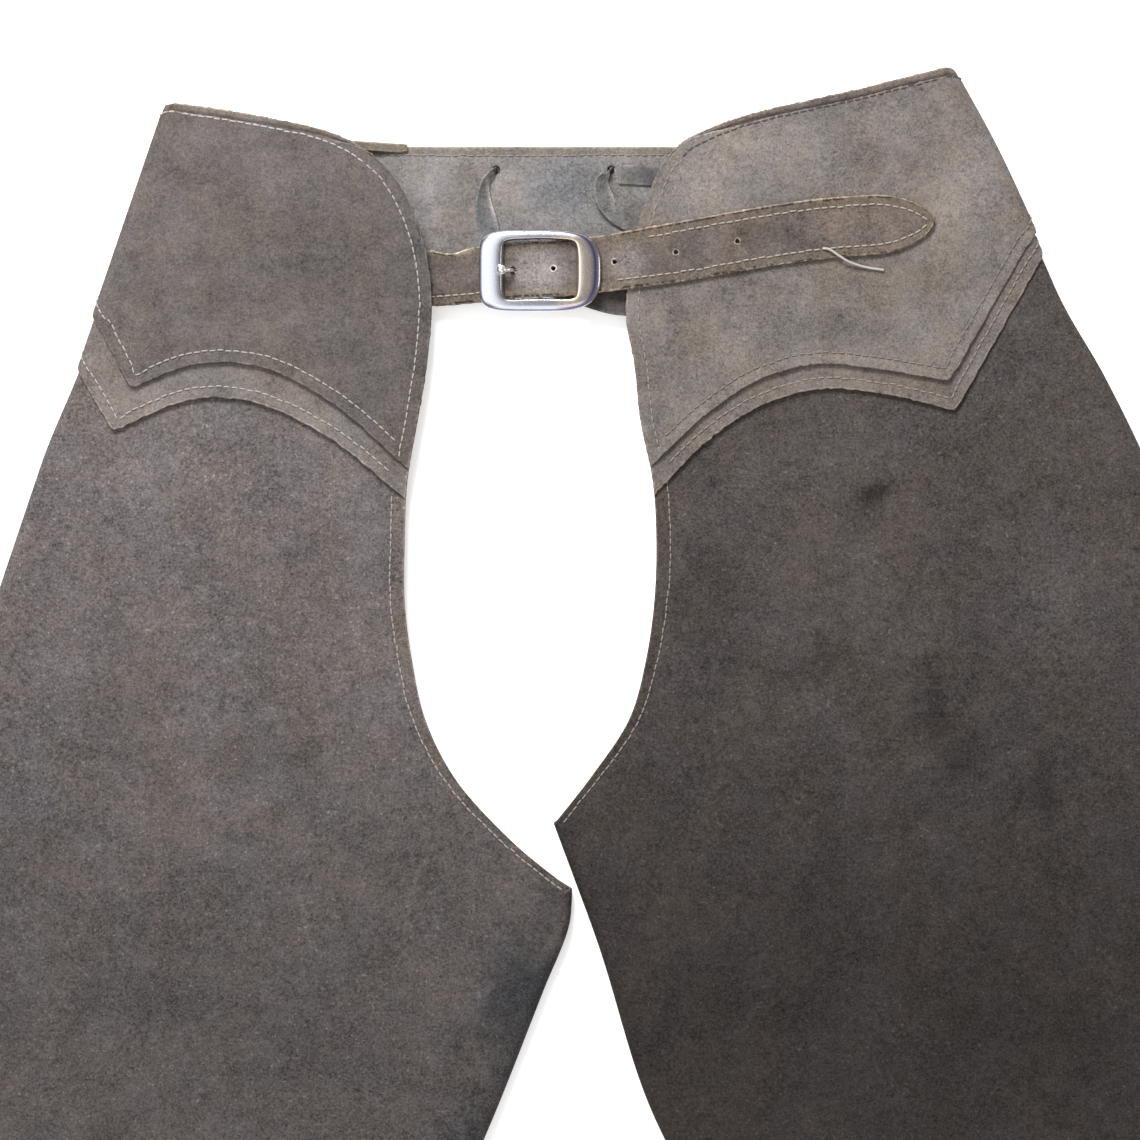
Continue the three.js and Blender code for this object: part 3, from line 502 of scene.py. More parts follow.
def makeMesh(name, points, faces, material, node=None, rim=None, warm=None, tones=None):
    # Millimetres from the middle of the waist become metres. The points carry what their material reads: the
    # shares rim and warm on suede (rim marks the cut rims, which the suede paints paler with a painted
    # highlight), and the colour tone on chrome (on the buckle frame, a painted reflection).
    mesh = bpy.data.meshes.new(name)
    mesh.from_pydata((points + shift) / 1000, [], [tuple(f) for group in faces for f in group.tolist()])
    mesh.materials.append(material)
    for kind, values in (("rim", rim), ("warm", warm)):
        if values is not None:
            mesh.attributes.new(kind, "FLOAT", "POINT").data.foreach_set("value", values.astype(np.float32))
    if tones is not None:
        turnOutwards(mesh)
        colours = np.c_[tones, np.ones(len(tones))].astype(np.float32).ravel()
        mesh.attributes.new("tone", "FLOAT_COLOR", "POINT").data.foreach_set("color", colours)
    mesh.polygons.foreach_set("use_smooth", np.ones(len(mesh.polygons), bool))
    mesh.update()
    made = bpy.data.objects.new(name, mesh)
    bpy.context.scene.collection.objects.link(made)
    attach(made, "root")
    if node:
        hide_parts(node)
    return made


def shell(place, quads, rings, low, high, cutRound=0.9, steps=3, fray=0.0):
    # A wall between two heights over a surface. Each free border ends in a half round: the border is
    # set in, and rows of points swing out and round from the top to the bottom. A fray pushes each of
    # a border's points in or out at random.
    top, bottom = place(high), place(low)
    count = len(top)
    half, middle = (high - low) / 2, (high + low) / 2
    a, b, d = (top[quads[:, k]] for k in (0, 1, 3))
    up = top - bottom
    handed = np.sign(np.sum(np.einsum("ij,ij->i", np.cross(b - a, d - a), up[quads[:, 0]])))
    if handed < 0:
        quads = quads[:, ::-1]
    faces = [quads, quads[:, ::-1] + count]
    points = [top, bottom]
    rim = [np.zeros(count), np.zeros(count)]
    used = 2 * count
    angles = np.radians(np.linspace(90, -90, steps + 2))
    for ring in rings:
        mid = place(middle)[ring]
        tangent = unit(np.roll(mid, -1, axis=0) - np.roll(mid, 1, axis=0))
        out = unit(np.cross(tangent, unit(up[ring]))) * handed
        inset = out * half * cutRound
        out *= rng.normal(0, 1, (len(ring), 1)) * fray
        top[ring] += out - inset
        bottom[ring] += out - inset
        rim[0][ring] = 1
        rim[1][ring] = 1
        rows = [ring]
        for angle in angles[1:-1]:
            points.append(place(middle + half * np.sin(angle))[ring] + inset * (np.cos(angle) - 1) + out)
            rim.append(np.ones(len(ring)))
            rows.append(used + np.arange(len(ring)))
            used += len(ring)
        rows.append(ring + count)
        for upper, lower in zip(rows, rows[1:]):
            cells = np.stack([upper, lower, np.roll(lower, -1), np.roll(upper, -1)], -1)
            faces.append(cells if handed > 0 else cells[:, ::-1])
    return np.vstack(points), np.vstack(faces), np.concatenate(rim)


def leather(name, place, quads, rings, low, high, material, node, slotName, warm=None, **more):
    # One leather piece: a shell over a place, whose cut rims are marked for the suede.
    points, faces, rim = shell(place, quads, rings, low, high, **more)
    if warm is not None:
        # Given for the top alone: the bottom has none, and the rims have all.
        count = warm.size
        warm = np.concatenate([warm.ravel(), np.zeros(count), np.ones(len(points) - 2 * count)])
    return makeMesh(name, points, [faces], material, node, rim, warm)


def ripple(x, y, seed, scale, high, count=7):
    # A sum of a few slow waves in seeded directions.
    waves = np.random.default_rng(seed)
    total = np.zeros_like(x)
    for _ in range(count):
        turn, phase, size = waves.uniform(0, 2 * np.pi), waves.uniform(0, 2 * np.pi), waves.uniform(0.7, 1.6)
        total += np.sin((x * np.cos(turn) + y * np.sin(turn)) * 2 * np.pi / (scale * size) + phase)
    return high * total / count


# Stitches

stitchSettings = dict(
    length=3.85, gap=0.75, thick=1.05, sides=6, rise=0.12, dip=0.35, wander=0.16, lowest=0.05,
    stations=(0.0, 0.12, 0.4, 0.6, 0.88, 1.0), girth=(0.45, 0.85, 1.0, 1.0, 0.85, 0.45),
)
stitchEnd = np.array([[0, 1, 2, 3], [0, 3, 4, 5]])  # two faces close a six-sided end
straightUp = np.array([0.0, 0, 1])


def stitchMesh(path, normals, s):
    # Short rounded bars head to tail along a path. Each is sunk by the fourth power of the way from its
    # middle, and lies a little to one side at random.
    walk = walked(path)
    pitch = s["length"] + s["gap"]
    count = int(walk[-1] / pitch)
    starts = (walk[-1] - count * pitch) / 2 + pitch * np.arange(count)
    stations = np.array(s["stations"])
    girth = np.array(s["girth"]) * s["thick"] / 2
    sink = -s["dip"] * (2 * stations - 1) ** 4 + s["rise"]
    at = starts[:, None] + s["gap"] / 2 + stations * s["length"]
    centre = sampled(at, walk, path)
    up = unit(sampled(at, walk, normals))
    ahead = unit(centre[:, -1:] - centre[:, :1])
    side = unit(np.cross(ahead, up))
    centre = centre + up * sink[None, :, None] + side * rng.normal(0, s["wander"], (count, 1, 1))
    turn = 2 * np.pi * np.arange(s["sides"]) / s["sides"]
    loop = side[:, :, None] * np.cos(turn)[:, None] + up[:, :, None] * np.sin(turn)[:, None]
    points = centre[:, :, None] + loop * girth[None, :, None, None]
    each = len(stations) * s["sides"]
    quads = gridQuads(len(stations), s["sides"], wrap=True)
    cells = np.vstack([quads[:, ::-1], stitchEnd, (stitchEnd + each - s["sides"])[:, ::-1]])
    return points.reshape(-1, 3), [(cells[None] + each * np.arange(count)[:, None, None]).reshape(-1, 4)]


def makeStitches(name, runs, thread, changes=None):
    # A run is a path with the way up along it.
    s = {**stitchSettings, **(changes or {})}
    points, faces = joined([stitchMesh(path, normals, s) for path, normals in runs])
    points[:, 2] = np.maximum(points[:, 2], s["lowest"])  # those below the back are pressed flat
    return makeMesh(name, points, faces, threads[thread])


# The legs' shape

legSizes = dict(
    wall=1.7, ply=1.5, gap=0.3, fold=7, crown=3, droop=5, corner=6, inset=5, waistSpan=462,
    cell=4.3, backCell=5.6, tubeCell=1.12, foldCells=8,
    cornerRun=12, seamFlat=0.2, edgeFrom=0.16, edgeRows=15, seamFade=(-0.6, 0.6),
    groove=0.35, ripple=0.45, rippleWide=46, stitchInset=(8.2, 3.6), stitchFrom=0.55,
    # Shares of the rise where the yokes' layers end at the fold and on top, and where the droop ends
    tuck=(0.43, 0.62), lift=(0.6, 0.9), droopDown=(0.72, 1),
    # Shares of the way across where the droop starts, and that swells and ripple leave alone
    droopFrom=0.35, calm=0.12, rippleFrom=0.1,
)
# Shares of a leg's width and rise from its waist corner: across towards the crotch, and down. Below the
# crotch, 1 to 2 down is the inseam. A swell is across, down, its two sizes, and millimetres high.
legs = dict(
    left=dict(
        inward=1, pointRound=0.02, lean=18.85, cornerHeight=21.5, width=372, rise=352, inseam=740,
        fold=[(0, 0), (1, 0), (1.4, 0), (2, 0.04)],
        inner=[(1, 1), (1.03, 1.014), (1.08, 1.009), (1.2, 0.997), (1.6, 0.93), (2, 0.84)],
        waist=[(0.094, -0.03), (0.177, -0.043), (0.247, -0.051), (0.295, -0.049), (0.335, -0.039)],
        front=[
            (0.37, -0.021), (0.404, 0.006), (0.438, 0.046), (0.469, 0.095), (0.495, 0.156), (0.519, 0.251),
            (0.535, 0.35), (0.55, 0.449), (0.576, 0.544), (0.606, 0.638), (0.647, 0.728), (0.697, 0.814),
            (0.772, 0.891), (0.885, 0.957), (0.95, 0.984),
        ],
        seatTop=(0.3, -0.05),
        seat=[(0.36, 0.02), (0.41, 0.2), (0.43, 0.4), (0.47, 0.6), (0.56, 0.77), (0.7, 0.89), (0.86, 0.965)],
        yoke=dict(foldDown=0.385, point=(0.097, 0.455), edge=[(0.18, 0.383), (0.28, 0.352), (0.4, 0.37)],
                  front=0.43, back=(0.277, 0.36), backDown=0.22),
        band=dict(foldDown=0.472, point=(0.092, 0.531), edge=[(0.19, 0.441), (0.28, 0.411), (0.41, 0.425)],
                  front=0.478, back=(0.12, 0.12), backDown=0.39),
        swells=[(0.45, 1.25, 0.16, 0.3, 3), (0.7, 1.7, 0.12, 0.35, -2.4), (0.3, 2.1, 0.13, 0.4, 2.6),
                (0.62, 2.55, 0.12, 0.35, 2.2)],
    ),
    right=dict(
        inward=-1, pointRound=0.01, lean=22, cornerHeight=42.3, width=381, rise=316, inseam=740,
        fold=[(0, 0), (0.16, -0.015), (0.36, -0.023), (0.52, -0.028), (0.75, -0.044), (1, -0.05),
              (1.3, -0.045), (2, 0.03)],
        inner=[(1, 1), (1.1, 1.006), (1.25, 1.025), (1.6, 0.95), (2, 0.85)],
        waist=[(0.095, -0.03), (0.153, -0.039), (0.223, -0.053), (0.292, -0.067), (0.348, -0.074),
               (0.39, -0.075), (0.424, -0.072), (0.449, -0.061)],
        front=[
            (0.475, -0.042), (0.502, -0.011), (0.529, 0.025), (0.551, 0.064), (0.575, 0.112), (0.598, 0.159),
            (0.612, 0.203), (0.622, 0.267), (0.647, 0.374), (0.664, 0.485), (0.693, 0.589), (0.73, 0.69),
            (0.776, 0.786), (0.833, 0.875), (0.92, 0.947), (0.955, 0.972),
        ],
        seatTop=(0.4, -0.071),
        seat=[(0.45, 0.02), (0.5, 0.203), (0.52, 0.406), (0.56, 0.609), (0.64, 0.782), (0.76, 0.894),
              (0.88, 0.97)],
        yoke=dict(foldDown=0.346, point=(0.19, 0.521), edge=[(0.28, 0.454), (0.37, 0.4), (0.46, 0.388),
                                                             (0.55, 0.41)],
                  front=0.459, back=(0.362, 0.455), backDown=0.225),
        band=dict(foldDown=0.389, point=(0.198, 0.575), edge=[(0.293, 0.495), (0.38, 0.444), (0.47, 0.433),
                                                              (0.565, 0.456)],
                  front=0.51, back=(0.12, 0.12), backDown=0.32),
        swells=[(0.5, 1.3, 0.15, 0.3, 2.8), (0.28, 1.75, 0.12, 0.35, -2.2), (0.66, 2.15, 0.13, 0.4, 2.6),
                (0.4, 2.6, 0.12, 0.35, 2.2)],
    ),
)
stack = 2 * (legSizes["ply"] + legSizes["gap"])


class Lie:
    # How a leg lies: a front over a back, joined by a half-round fold outside and an inseam inside.
    # A place on it is a, millimetres across from the waist corner, and d, millimetres down.
    def __init__(self, table, sizes, seed):
        self.t, self.s, self.seed = table, sizes, seed
        t, s = table, sizes
        self.width, self.rise, self.inseam = t["width"], t["rise"], t["inseam"]
        self.turn = radians(t["lean"])
        self.cornerX = -t["inward"] * s["waistSpan"] / 2
        foldTop = (float(self.foldAt(0.0)) + s["fold"], -s["corner"])
        self.waist = roundCurve([foldTop, *self.scaled(t["waist"])])
        self.crotch = (self.width - float(self.seamRadius(self.rise)), self.rise)
        self.front = roundCurve([*self.scaled([t["waist"][-1], *t["front"]]), self.crotch])
        line = self.front.line[self.front.line[:, 1] >= 0]
        depths = np.linspace(s["edgeFrom"], 1, s["edgeRows"]) * self.rise
        edge = np.interp(depths, line[:, 1], line[:, 0])
        self.edgeRows = list(zip(depths, [*edge[:-1], self.crotch[0]]))

    def stitchInset(self, share):
        # The stitches run closer to the edge as they near the crotch.
        wide, near = self.s["stitchInset"]
        return mix(wide, near, smooth(self.s["stitchFrom"], 1, share))

    def scaled(self, rows):
        # Shares of the width and the rise become millimetres.
        return [(a * self.width, d * self.rise) for a, d in rows]

    def share(self, d):
        # 0 to 1 down the rise, and 1 to 2 down the inseam.
        return np.where(d <= self.rise, d / self.rise, 1 + (d - self.rise) / self.inseam)

    def fades(self, name, d):
        # 1 above a stretch of the rise, and 0 below it.
        start, end = self.s[name]
        return 1 - smooth(start * self.rise, end * self.rise, d)

    def foldAt(self, d):
        # Where the fold's outer face lies: the table's, set in by the layers of the yokes.
        return self.width * along(self.t["fold"], self.share(d)) + stack * self.fades("tuck", d)

    def foldLine(self, high, low):
        # The line between the front and the fold, from one depth to another.
        def at(v):
            d = mix(high, low, v)
            return np.stack([self.foldAt(d) + self.s["fold"], d], -1)
        return at

    def seamRadius(self, d):
        # The inseam's fold is nearly flat at the crotch and full a little way below it.
        grown = np.clip((d - self.rise) / self.s["cornerRun"], 0, 1)
        return self.s["fold"] * mix(self.s["seamFlat"], 1, np.sqrt(1 - (1 - grown) ** 2))

    def innerAt(self, d):
        # Where the inseam's outer face lies.
        return self.width * along(self.t["inner"], self.share(d))

    def edgeAt(self, d):
        # Where the front ends: at its open edge, or at the inseam's fold.
        return np.where(d > self.rise, self.innerAt(d) - self.seamRadius(d), along(self.edgeRows, d))

    def lift(self, d):
        # The yokes' layers below hold the leg up.
        return stack * self.fades("lift", d)

    def height(self, a, d):
        # A low crown from fold to edge, less a sunk front edge, plus soft swells and a slow ripple.
        s = self.s
        start = self.foldAt(d) + s["fold"]
        x = np.clip((a - start) / (self.edgeAt(d) - start), 0, 1)
        sink = s["droop"] * self.fades("droopDown", d) * smooth(s["droopFrom"], 1, x)
        calm = smooth(0, s["calm"], x) * smooth(0, s["calm"], 1 - x)
        u, v = a / self.width, d / self.rise
        swell = sum(high * np.exp(-((u - across) / wide) ** 2 - ((v - down) / long) ** 2)
                    for across, down, wide, long, high in self.t["swells"])
        soft = smooth(0, s["rippleFrom"], x) * ripple(a, d, self.seed, s["rippleWide"], s["ripple"])
        return self.lift(d) + 2 * s["fold"] + s["crown"] * np.sin(np.pi * x) - sink + calm * swell + soft

    def plan(self, a, d):
        # From a place on the leg to millimetres from the middle of the waist.
        k = self.t["inward"]
        return (self.cornerX + k * (a * np.cos(self.turn) - d * np.sin(self.turn)),
                self.t["cornerHeight"] - a * np.sin(self.turn) - d * np.cos(self.turn))

    def unplan(self, x, y):
        # From millimetres from the middle of the waist to a place on the leg.
        right, below = (x - self.cornerX) * self.t["inward"], self.t["cornerHeight"] - y
        return (right * np.cos(self.turn) + below * np.sin(self.turn),
                below * np.cos(self.turn) - right * np.sin(self.turn))

    def points(self, zone, a, d, angle, h):
        # Zones: 0 the front, 1 the fold, 2 the back, 3 the inseam. h is the height over the base.
        radius = self.s["fold"]
        reach = radius + h
        seam = self.seamRadius(d)
        bent = [self.foldAt(d) + radius - reach * np.sin(angle),
                self.innerAt(d) - seam + (seam + h) * np.sin(angle)]
        across = np.select([zone == 1, zone == 3], bent, a)
        lift = self.lift(d)
        flat = np.where(zone == 0, self.height(a, d) + h, lift - h)
        z = np.where((zone == 1) | (zone == 3), lift + radius + reach * np.cos(angle), flat)
        return np.stack([*self.plan(across, d), z], -1)


def spread(size, near, far, count):
    # Shares from 0 to 1: fixed distances from both ends of a size, and even steps in between.
    size = np.asarray(size, float)[..., None]
    head, tail = np.array(near) / size, 1 - np.array(far)[::-1] / size
    even = mix(head[..., -1:], tail[..., :1], np.linspace(0, 1, count + 2)[1:-1])
    return np.concatenate([head, even, tail], -1)


edgeSteps = (0, 1.4, 3, 4.8, 6.4, 7.6, 8.8, 10.4, 13)


def groove(distance, inset, depth, wide=1.6):
    # A narrow dip under a row of stitches.
    return -depth * np.exp(-((distance - inset) / wide) ** 2)


def layerPlace(lie, frontPatch, backPatch, cornerTop, lowDown, slope=0):
    # Where a sheet's column c and row v lie: the front for c from 0 to 1, the fold to 2, the back to 3.
    def at(c, v, h):
        zone = np.clip(np.floor(c), 0, 2)
        angle = np.clip(c - 1, 0, 1) * np.pi
        front = frontPatch(np.clip(1 - c, 0, 1), v)
        back = backPatch(np.clip(c - 2, 0, 1), v)
        dip = -lie.s["corner"] * np.abs(np.cos(angle)) + cornerTop
        low = lowDown - slope * lie.s["fold"] * angle
        d = np.select([zone == 0, zone == 2], [front[..., 1], back[..., 1]], mix(dip, low, v))
        a = np.where(zone == 0, front[..., 0], back[..., 0])
        return lie.points(zone, a, d, angle, h)
    return at


def makeLeg(side, seed, material):
    # One leg: rows of an open sheet down to the crotch, then rows of a closed tube to the hem.
    s, t = legSizes, legs[side]
    lie = Lie(t, s, seed)
    foldSide = lie.foldLine(-s["corner"], lie.rise)
    crotchRow = straight(foldSide(np.ones(1))[0], lie.crotch)
    frontPatch = patch(lie.waist, crotchRow, foldSide, lie.front)
    seat = roundCurve([*lie.scaled([t["seatTop"], *t["seat"]]), lie.crotch])
    backWaist = straight(foldSide(np.zeros(1))[0], lie.scaled([t["seatTop"]])[0])
    sheet = layerPlace(lie, frontPatch, patch(backWaist, crotchRow, foldSide, seat), 0, lie.rise)

    v = spread(lie.rise, (0, 1.5, 3.5), (0,), int(lie.rise / s["cell"]))[:-1]
    tubeCount = int(lie.inseam / (s["cell"] * s["tubeCell"]))
    tubeDown = lie.rise + spread(lie.inseam, (0,), (0, 1.5, 3.5, 6.5, 9, 12), tubeCount) * lie.inseam
    frontWide = np.linalg.norm(frontPatch(np.ones(len(v)), v) - foldSide(v), axis=-1)
    backWide = np.linalg.norm(seat(v) - foldSide(v), axis=-1)
    foldC = 1 + np.linspace(0, 1, s["foldCells"] + 1)[1:]
    frontCount, backCount = int(lie.width / s["cell"]), int(lie.width / s["backCell"])

    def columns(front, back):
        rows = len(front)
        c0 = spread(front, edgeSteps, (0,), frontCount)
        c2 = 2 + spread(back, (0,), (0, 1.5, 4), backCount)[:, 1:]
        return np.concatenate([c0, np.broadcast_to(foldC, (rows, len(foldC))), c2], -1)

    c = columns(frontWide, backWide)
    isFront = c < 1
    at = frontPatch(np.clip(1 - c, 0, 1), v[:, None])
    away = np.full(c.shape, 99.0)
    away[isFront] = np.sqrt(((at[isFront][:, None] - lie.front.line[None, ::6]) ** 2).sum(-1).min(1))
    stitchAt = lie.stitchInset(v[:, None])
    across = lie.innerAt(tubeDown) - lie.foldAt(tubeDown) - s["fold"] - lie.seamRadius(tubeDown)
    inseamC = 3 + np.linspace(0, 1, s["foldCells"] + 1)[1:-1]
    tube = np.concatenate([columns(across, across),
                           np.broadcast_to(inseamC, (len(tubeDown), len(inseamC)))], -1)
    openCount, m, w = len(v), c.shape[1], tube.shape[1]
    d = np.broadcast_to(tubeDown[:, None], tube.shape)
    zone = np.clip(np.floor(tube), 0, 3)
    zone[:, m - 1] = 2
    angle = np.select([zone == 1, zone == 3], [(tube - 1) * np.pi, (4 - tube) * np.pi], 0)
    share = np.where(zone == 0, 1 - tube, tube - 2)
    a = mix(lie.foldAt(d) + s["fold"], lie.innerAt(d) - lie.seamRadius(d), np.clip(share, 0, 1))

    def place(h):
        dent = groove(away, stitchAt, s["groove"]) * (h > -s["wall"] / 2)
        upper = sheet(c, v[:, None], h + dent).reshape(-1, 3)
        return np.vstack([upper, lie.points(zone, a, d, angle, h).reshape(-1, 3)])

    first = openCount * m
    above = np.arange(m - 1)
    join = np.stack([first - m + above, first - m + above + 1, first + above + 1, first + above], -1)
    quads = np.vstack([gridQuads(openCount, m), join, gridQuads(len(tubeDown), w, first, True)])
    grid = np.arange(first).reshape(openCount, m)
    ring = np.concatenate([grid[0, :-1], grid[:, -1], first + np.arange(m - 1, w), [first], grid[:0:-1, 0]])
    hem = first + (len(tubeDown) - 1) * w + np.arange(w)[::-1]
    warm = np.concatenate([(1 - smooth(*s["seamFade"], away - stitchAt)).ravel(), np.zeros(tube.size)])
    leg = side + "_leg"
    leather(leg + "_leather", place, quads, [ring, hem], -s["wall"], 0, material, leg, "leg_suede", warm)
    return lie


def setIn(lie, line, ahead, inset, above=0.0):
    # A line on the leg, moved square to its way ahead, with the way up along it.
    a, d = (line + np.stack([-ahead[:, 1], ahead[:, 0]], -1) * inset).T
    path = np.stack([*lie.plan(a, d), lie.height(a, d) + above], -1)
    return path, np.tile(straightUp, (len(path), 1))


def edgeStitches(lie, start, end, count=700):
    # A line set in from the leg's front edge.
    t = np.linspace(start, end, count)
    line = lie.front(t)
    return setIn(lie, line, unit(np.gradient(line, axis=0)), lie.stitchInset(t)[:, None])


turnSizes = dict(waist=301, front=501, window=24, blend=(180, 400))


def turnStitches(lie, end, inset, near, s=turnSizes):
    # One line set in from the waist and then from the front edge, cut in two at their corner. The
    # way ahead is that of a running average, which rounds the corner off.
    waist = lie.waist(np.linspace(0, 1, s["waist"]))
    line = np.vstack([waist, lie.front(np.linspace(0, end, s["front"]))[1:]])
    index = np.arange(len(line))
    around = np.clip(index[:, None] + np.arange(-s["window"], s["window"] + 1), 0, len(line) - 1)
    ahead = unit(np.gradient(line[around].mean(1), axis=0))
    share = smooth(*s["blend"], index)[:, None]
    path, up = setIn(lie, line, ahead, mix(near, inset, share), yokeTop)
    return (path[:s["waist"]], up[:s["waist"]]), (path[s["waist"]:], up[s["waist"]:])


# The yokes

yokeSizes = dict(
    cell=2, backCell=3.4, rowCell=2.2, foldCells=8, pointAt=2 / 12, rounding=0.1, topFrom=0.7, skin=0.8,
    lowSeam=7, bandSeam=6.5, frontSeam=7, waistSeam=0.9, seamReach=0.975, groove=0.35, fray=0.2,
    # The strip bound over the waist: its height, how far down it fades, and along which columns
    bound=1.3, boundFade=(3.8, 4.9), boundFrom=(0.02, 0.12), boundTo=(1.5, 2),
    # The lower edge's curl: its height, its run, and along which columns
    curl=1.2, curlRun=4.5, curlFrom=(0, 0.06), curlTo=(0.82, 0.97),
)
bandLow, yokeLow = legSizes["gap"], 2 * legSizes["gap"] + legSizes["ply"]
bandTop, yokeTop = bandLow + legSizes["ply"], yokeLow + legSizes["ply"]


def makeYoke(lie, shape, name, material, low, inset):
    # One yoke layer, from the front edge round the fold to its plain end on the back. Its lower edge
    # runs straight to the point and then along the scallop.
    s, pointAt = yokeSizes, yokeSizes["pointAt"]
    waistDown, foldLow = inset - lie.s["corner"], shape["foldDown"] * lie.rise
    foldSide = lie.foldLine(waistDown, foldLow)
    line = lie.front(np.linspace(0, 1, 401))
    frontEnd = np.argmax(line[:, 1] >= shape["front"] * lie.rise) / 400
    point = lie.scaled([shape["point"]])[0]
    foldPoint = foldSide(np.ones(1))[0]
    slope = (point[1] - foldLow) / (point[0] - foldPoint[0])
    backSide = lie.foldLine(waistDown, foldLow - slope * lie.s["fold"] * np.pi)

    def top(u):
        return lie.waist(u) + np.stack([0 * u, inset * (1 - smooth(s["topFrom"], 1, u))], -1)

    def frontSide(v):
        return lie.front(v * frontEnd)

    toPoint = straight(foldPoint, point)
    scallop = roundCurve([point, *lie.scaled(shape["edge"]), frontSide(np.ones(1))[0]])

    def bottom(u):
        # Averages over a short run take the sharpness off the point.
        run = lie.t["pointRound"] * smooth(0, s["rounding"], u) * smooth(0, s["rounding"], 1 - u)
        at = u[..., None] + run[..., None] * np.linspace(-1, 1, 9)
        each = np.where((at < pointAt)[..., None], toPoint(np.clip(at / pointAt, 0, 1)),
                        scallop(np.clip((at - pointAt) / (1 - pointAt), 0, 1)))
        return each.mean(-2)

    frontPatch = patch(top, bottom, foldSide, frontSide)
    backTopX = shape["back"][0] * lie.width
    backTop = (backTopX, np.interp(backTopX, lie.waist.line[:, 0], lie.waist.line[:, 1]) + inset)
    backLow = (shape["back"][1] * lie.width, shape["backDown"] * lie.rise)
    backPatch = patch(straight(backSide(np.zeros(1))[0], backTop), straight(backSide(np.ones(1))[0], backLow),
                      backSide, straight(backTop, backLow))
    place = layerPlace(lie, frontPatch, backPatch, inset, foldLow, slope)

    rows = np.linspace(0, 1, 9)
    wide = np.linalg.norm(frontSide(rows) - foldSide(rows), axis=-1).mean()
    backWide = np.hypot(*backTop)
    c0 = spread(wide, edgeSteps, (0,), int(wide / s["cell"]))
    c0[np.argmin(np.abs(c0 - (1 - pointAt)))] = 1 - pointAt
    c1 = 1 + np.linspace(0, 1, s["foldCells"] + 1)[1:]
    c2 = 2 + spread(backWide, (0,), (0, 1.5, 4), int(backWide / s["backCell"]))[1:]
    c = np.concatenate([c0, c1, c2])
    tall = np.linalg.norm(place(c, np.ones_like(c), 0) - place(c, np.zeros_like(c), 0), axis=-1)
    v = spread(tall, (0, 1.4, 2.8, 3.9, 4.8, 6, 8), edgeSteps, int(tall.mean() / s["rowCell"])).T
    cc = np.broadcast_to(c, v.shape)
    lowInset, frontInset, topInset = (1 - v) * tall, cc * wide, v * tall
    bound = 1 - smooth(*s["boundFade"], topInset) if inset == 0 else 0 * topInset
    curl = s["curl"] * np.exp(-((lowInset / s["curlRun"]) ** 2))
    curl = curl * smooth(*s["curlFrom"], cc) * (1 - smooth(*s["curlTo"], cc))

    def layer(h):
        dent = groove(lowInset, s["lowSeam"], s["groove"])
        dent = dent + groove(frontInset, s["frontSeam"], s["groove"]) * (cc < 1)
        raised = s["bound"] * bound * smooth(*s["boundFrom"], cc) * (1 - smooth(*s["boundTo"], cc))
        return place(cc, v, h + curl + (dent + raised) * (h > low + s["skin"])).reshape(-1, 3)

    n, m = v.shape
    leather(name + "_leather", layer, gridQuads(n, m), [gridRing(n, m)], low, low + legSizes["ply"], material,
            name, "yoke_suede", bound, fray=s["fray"])
    return place, frontEnd


def seam(place, edge, inset, start, end, above, count=500):
    # A line at one distance from a sheet's lower edge or its waist, with the way up along it.
    t, small = np.linspace(start, end, count), 0.004

    def at(x, h):
        return place(t, 1 - x if edge == "low" else x, h)

    border = at(0 * t, above)
    across = (at(0 * t + small, above) - border) / small
    ahead = unit(np.gradient(border, axis=0))
    sine = np.linalg.norm(np.cross(ahead, unit(across)), axis=-1)
    x = inset / (np.linalg.norm(across, axis=-1) * np.maximum(sine, 0.3))
    path = at(x, above)
    return path, unit(at(x, above + 1) - path)


lies = {}
for side, seed in (("left", 5), ("right", 8)):
    s, shape, suede, thread = yokeSizes, legs[side], suedes[side], sideThreads[side]
    lie = lies[side] = makeLeg(side, seed, suede["leg"])
    band = makeYoke(lie, shape["band"], side + "_under_yoke", suede["band"], bandLow, 0)[0]
    yoke, yokeEnd = makeYoke(lie, shape["yoke"], side + "_yoke", suede["yoke"], yokeLow, legSizes["inset"])
    waistRun, frontRun = turnStitches(
        lie, s["seamReach"] * yokeEnd, s["frontSeam"], legSizes["inset"] + s["waistSeam"])
    for name, runs, kind in (
        ("_yoke_stitches", [seam(yoke, "low", s["lowSeam"], 0.05, 2.9, yokeTop)], "low"),
        ("_yoke_front_stitches", [frontRun], "front"),
        ("_yoke_waist_stitches", [waistRun, seam(yoke, "waist", s["waistSeam"], 1, 1.5, yokeTop)], "waist"),
        ("_under_yoke_stitches", [seam(band, "low", s["bandSeam"], 0.05, 2.9, bandTop)], "band"),
    ):
        makeStitches(side + name, runs, thread[kind])
    legRun = edgeStitches(lie, thread["legFrom"], 0.995)
    makeStitches(side + "_leg_stitches", [legRun], thread["leg"], dict(thick=1.0, gap=0.5))
    print(side, "leg and yokes made")

# Holes and round bars


def rod(path, first, second, radius, sides=20):
    # Circles in the plane of two directions, carried along a path, with a flat face at each end.
    turn = 2 * np.pi * np.arange(sides) / sides
    circle = radius * (np.outer(np.cos(turn), first) + np.outer(np.sin(turn), second))
    points = (np.array(path, float)[:, None] + circle).reshape(-1, 3)
    end = np.arange(sides)
    return points, [gridQuads(len(path), sides, wrap=True), end[None, ::-1], end[None] + len(points) - sides]


alongX, alongY, alongZ = np.eye(3)


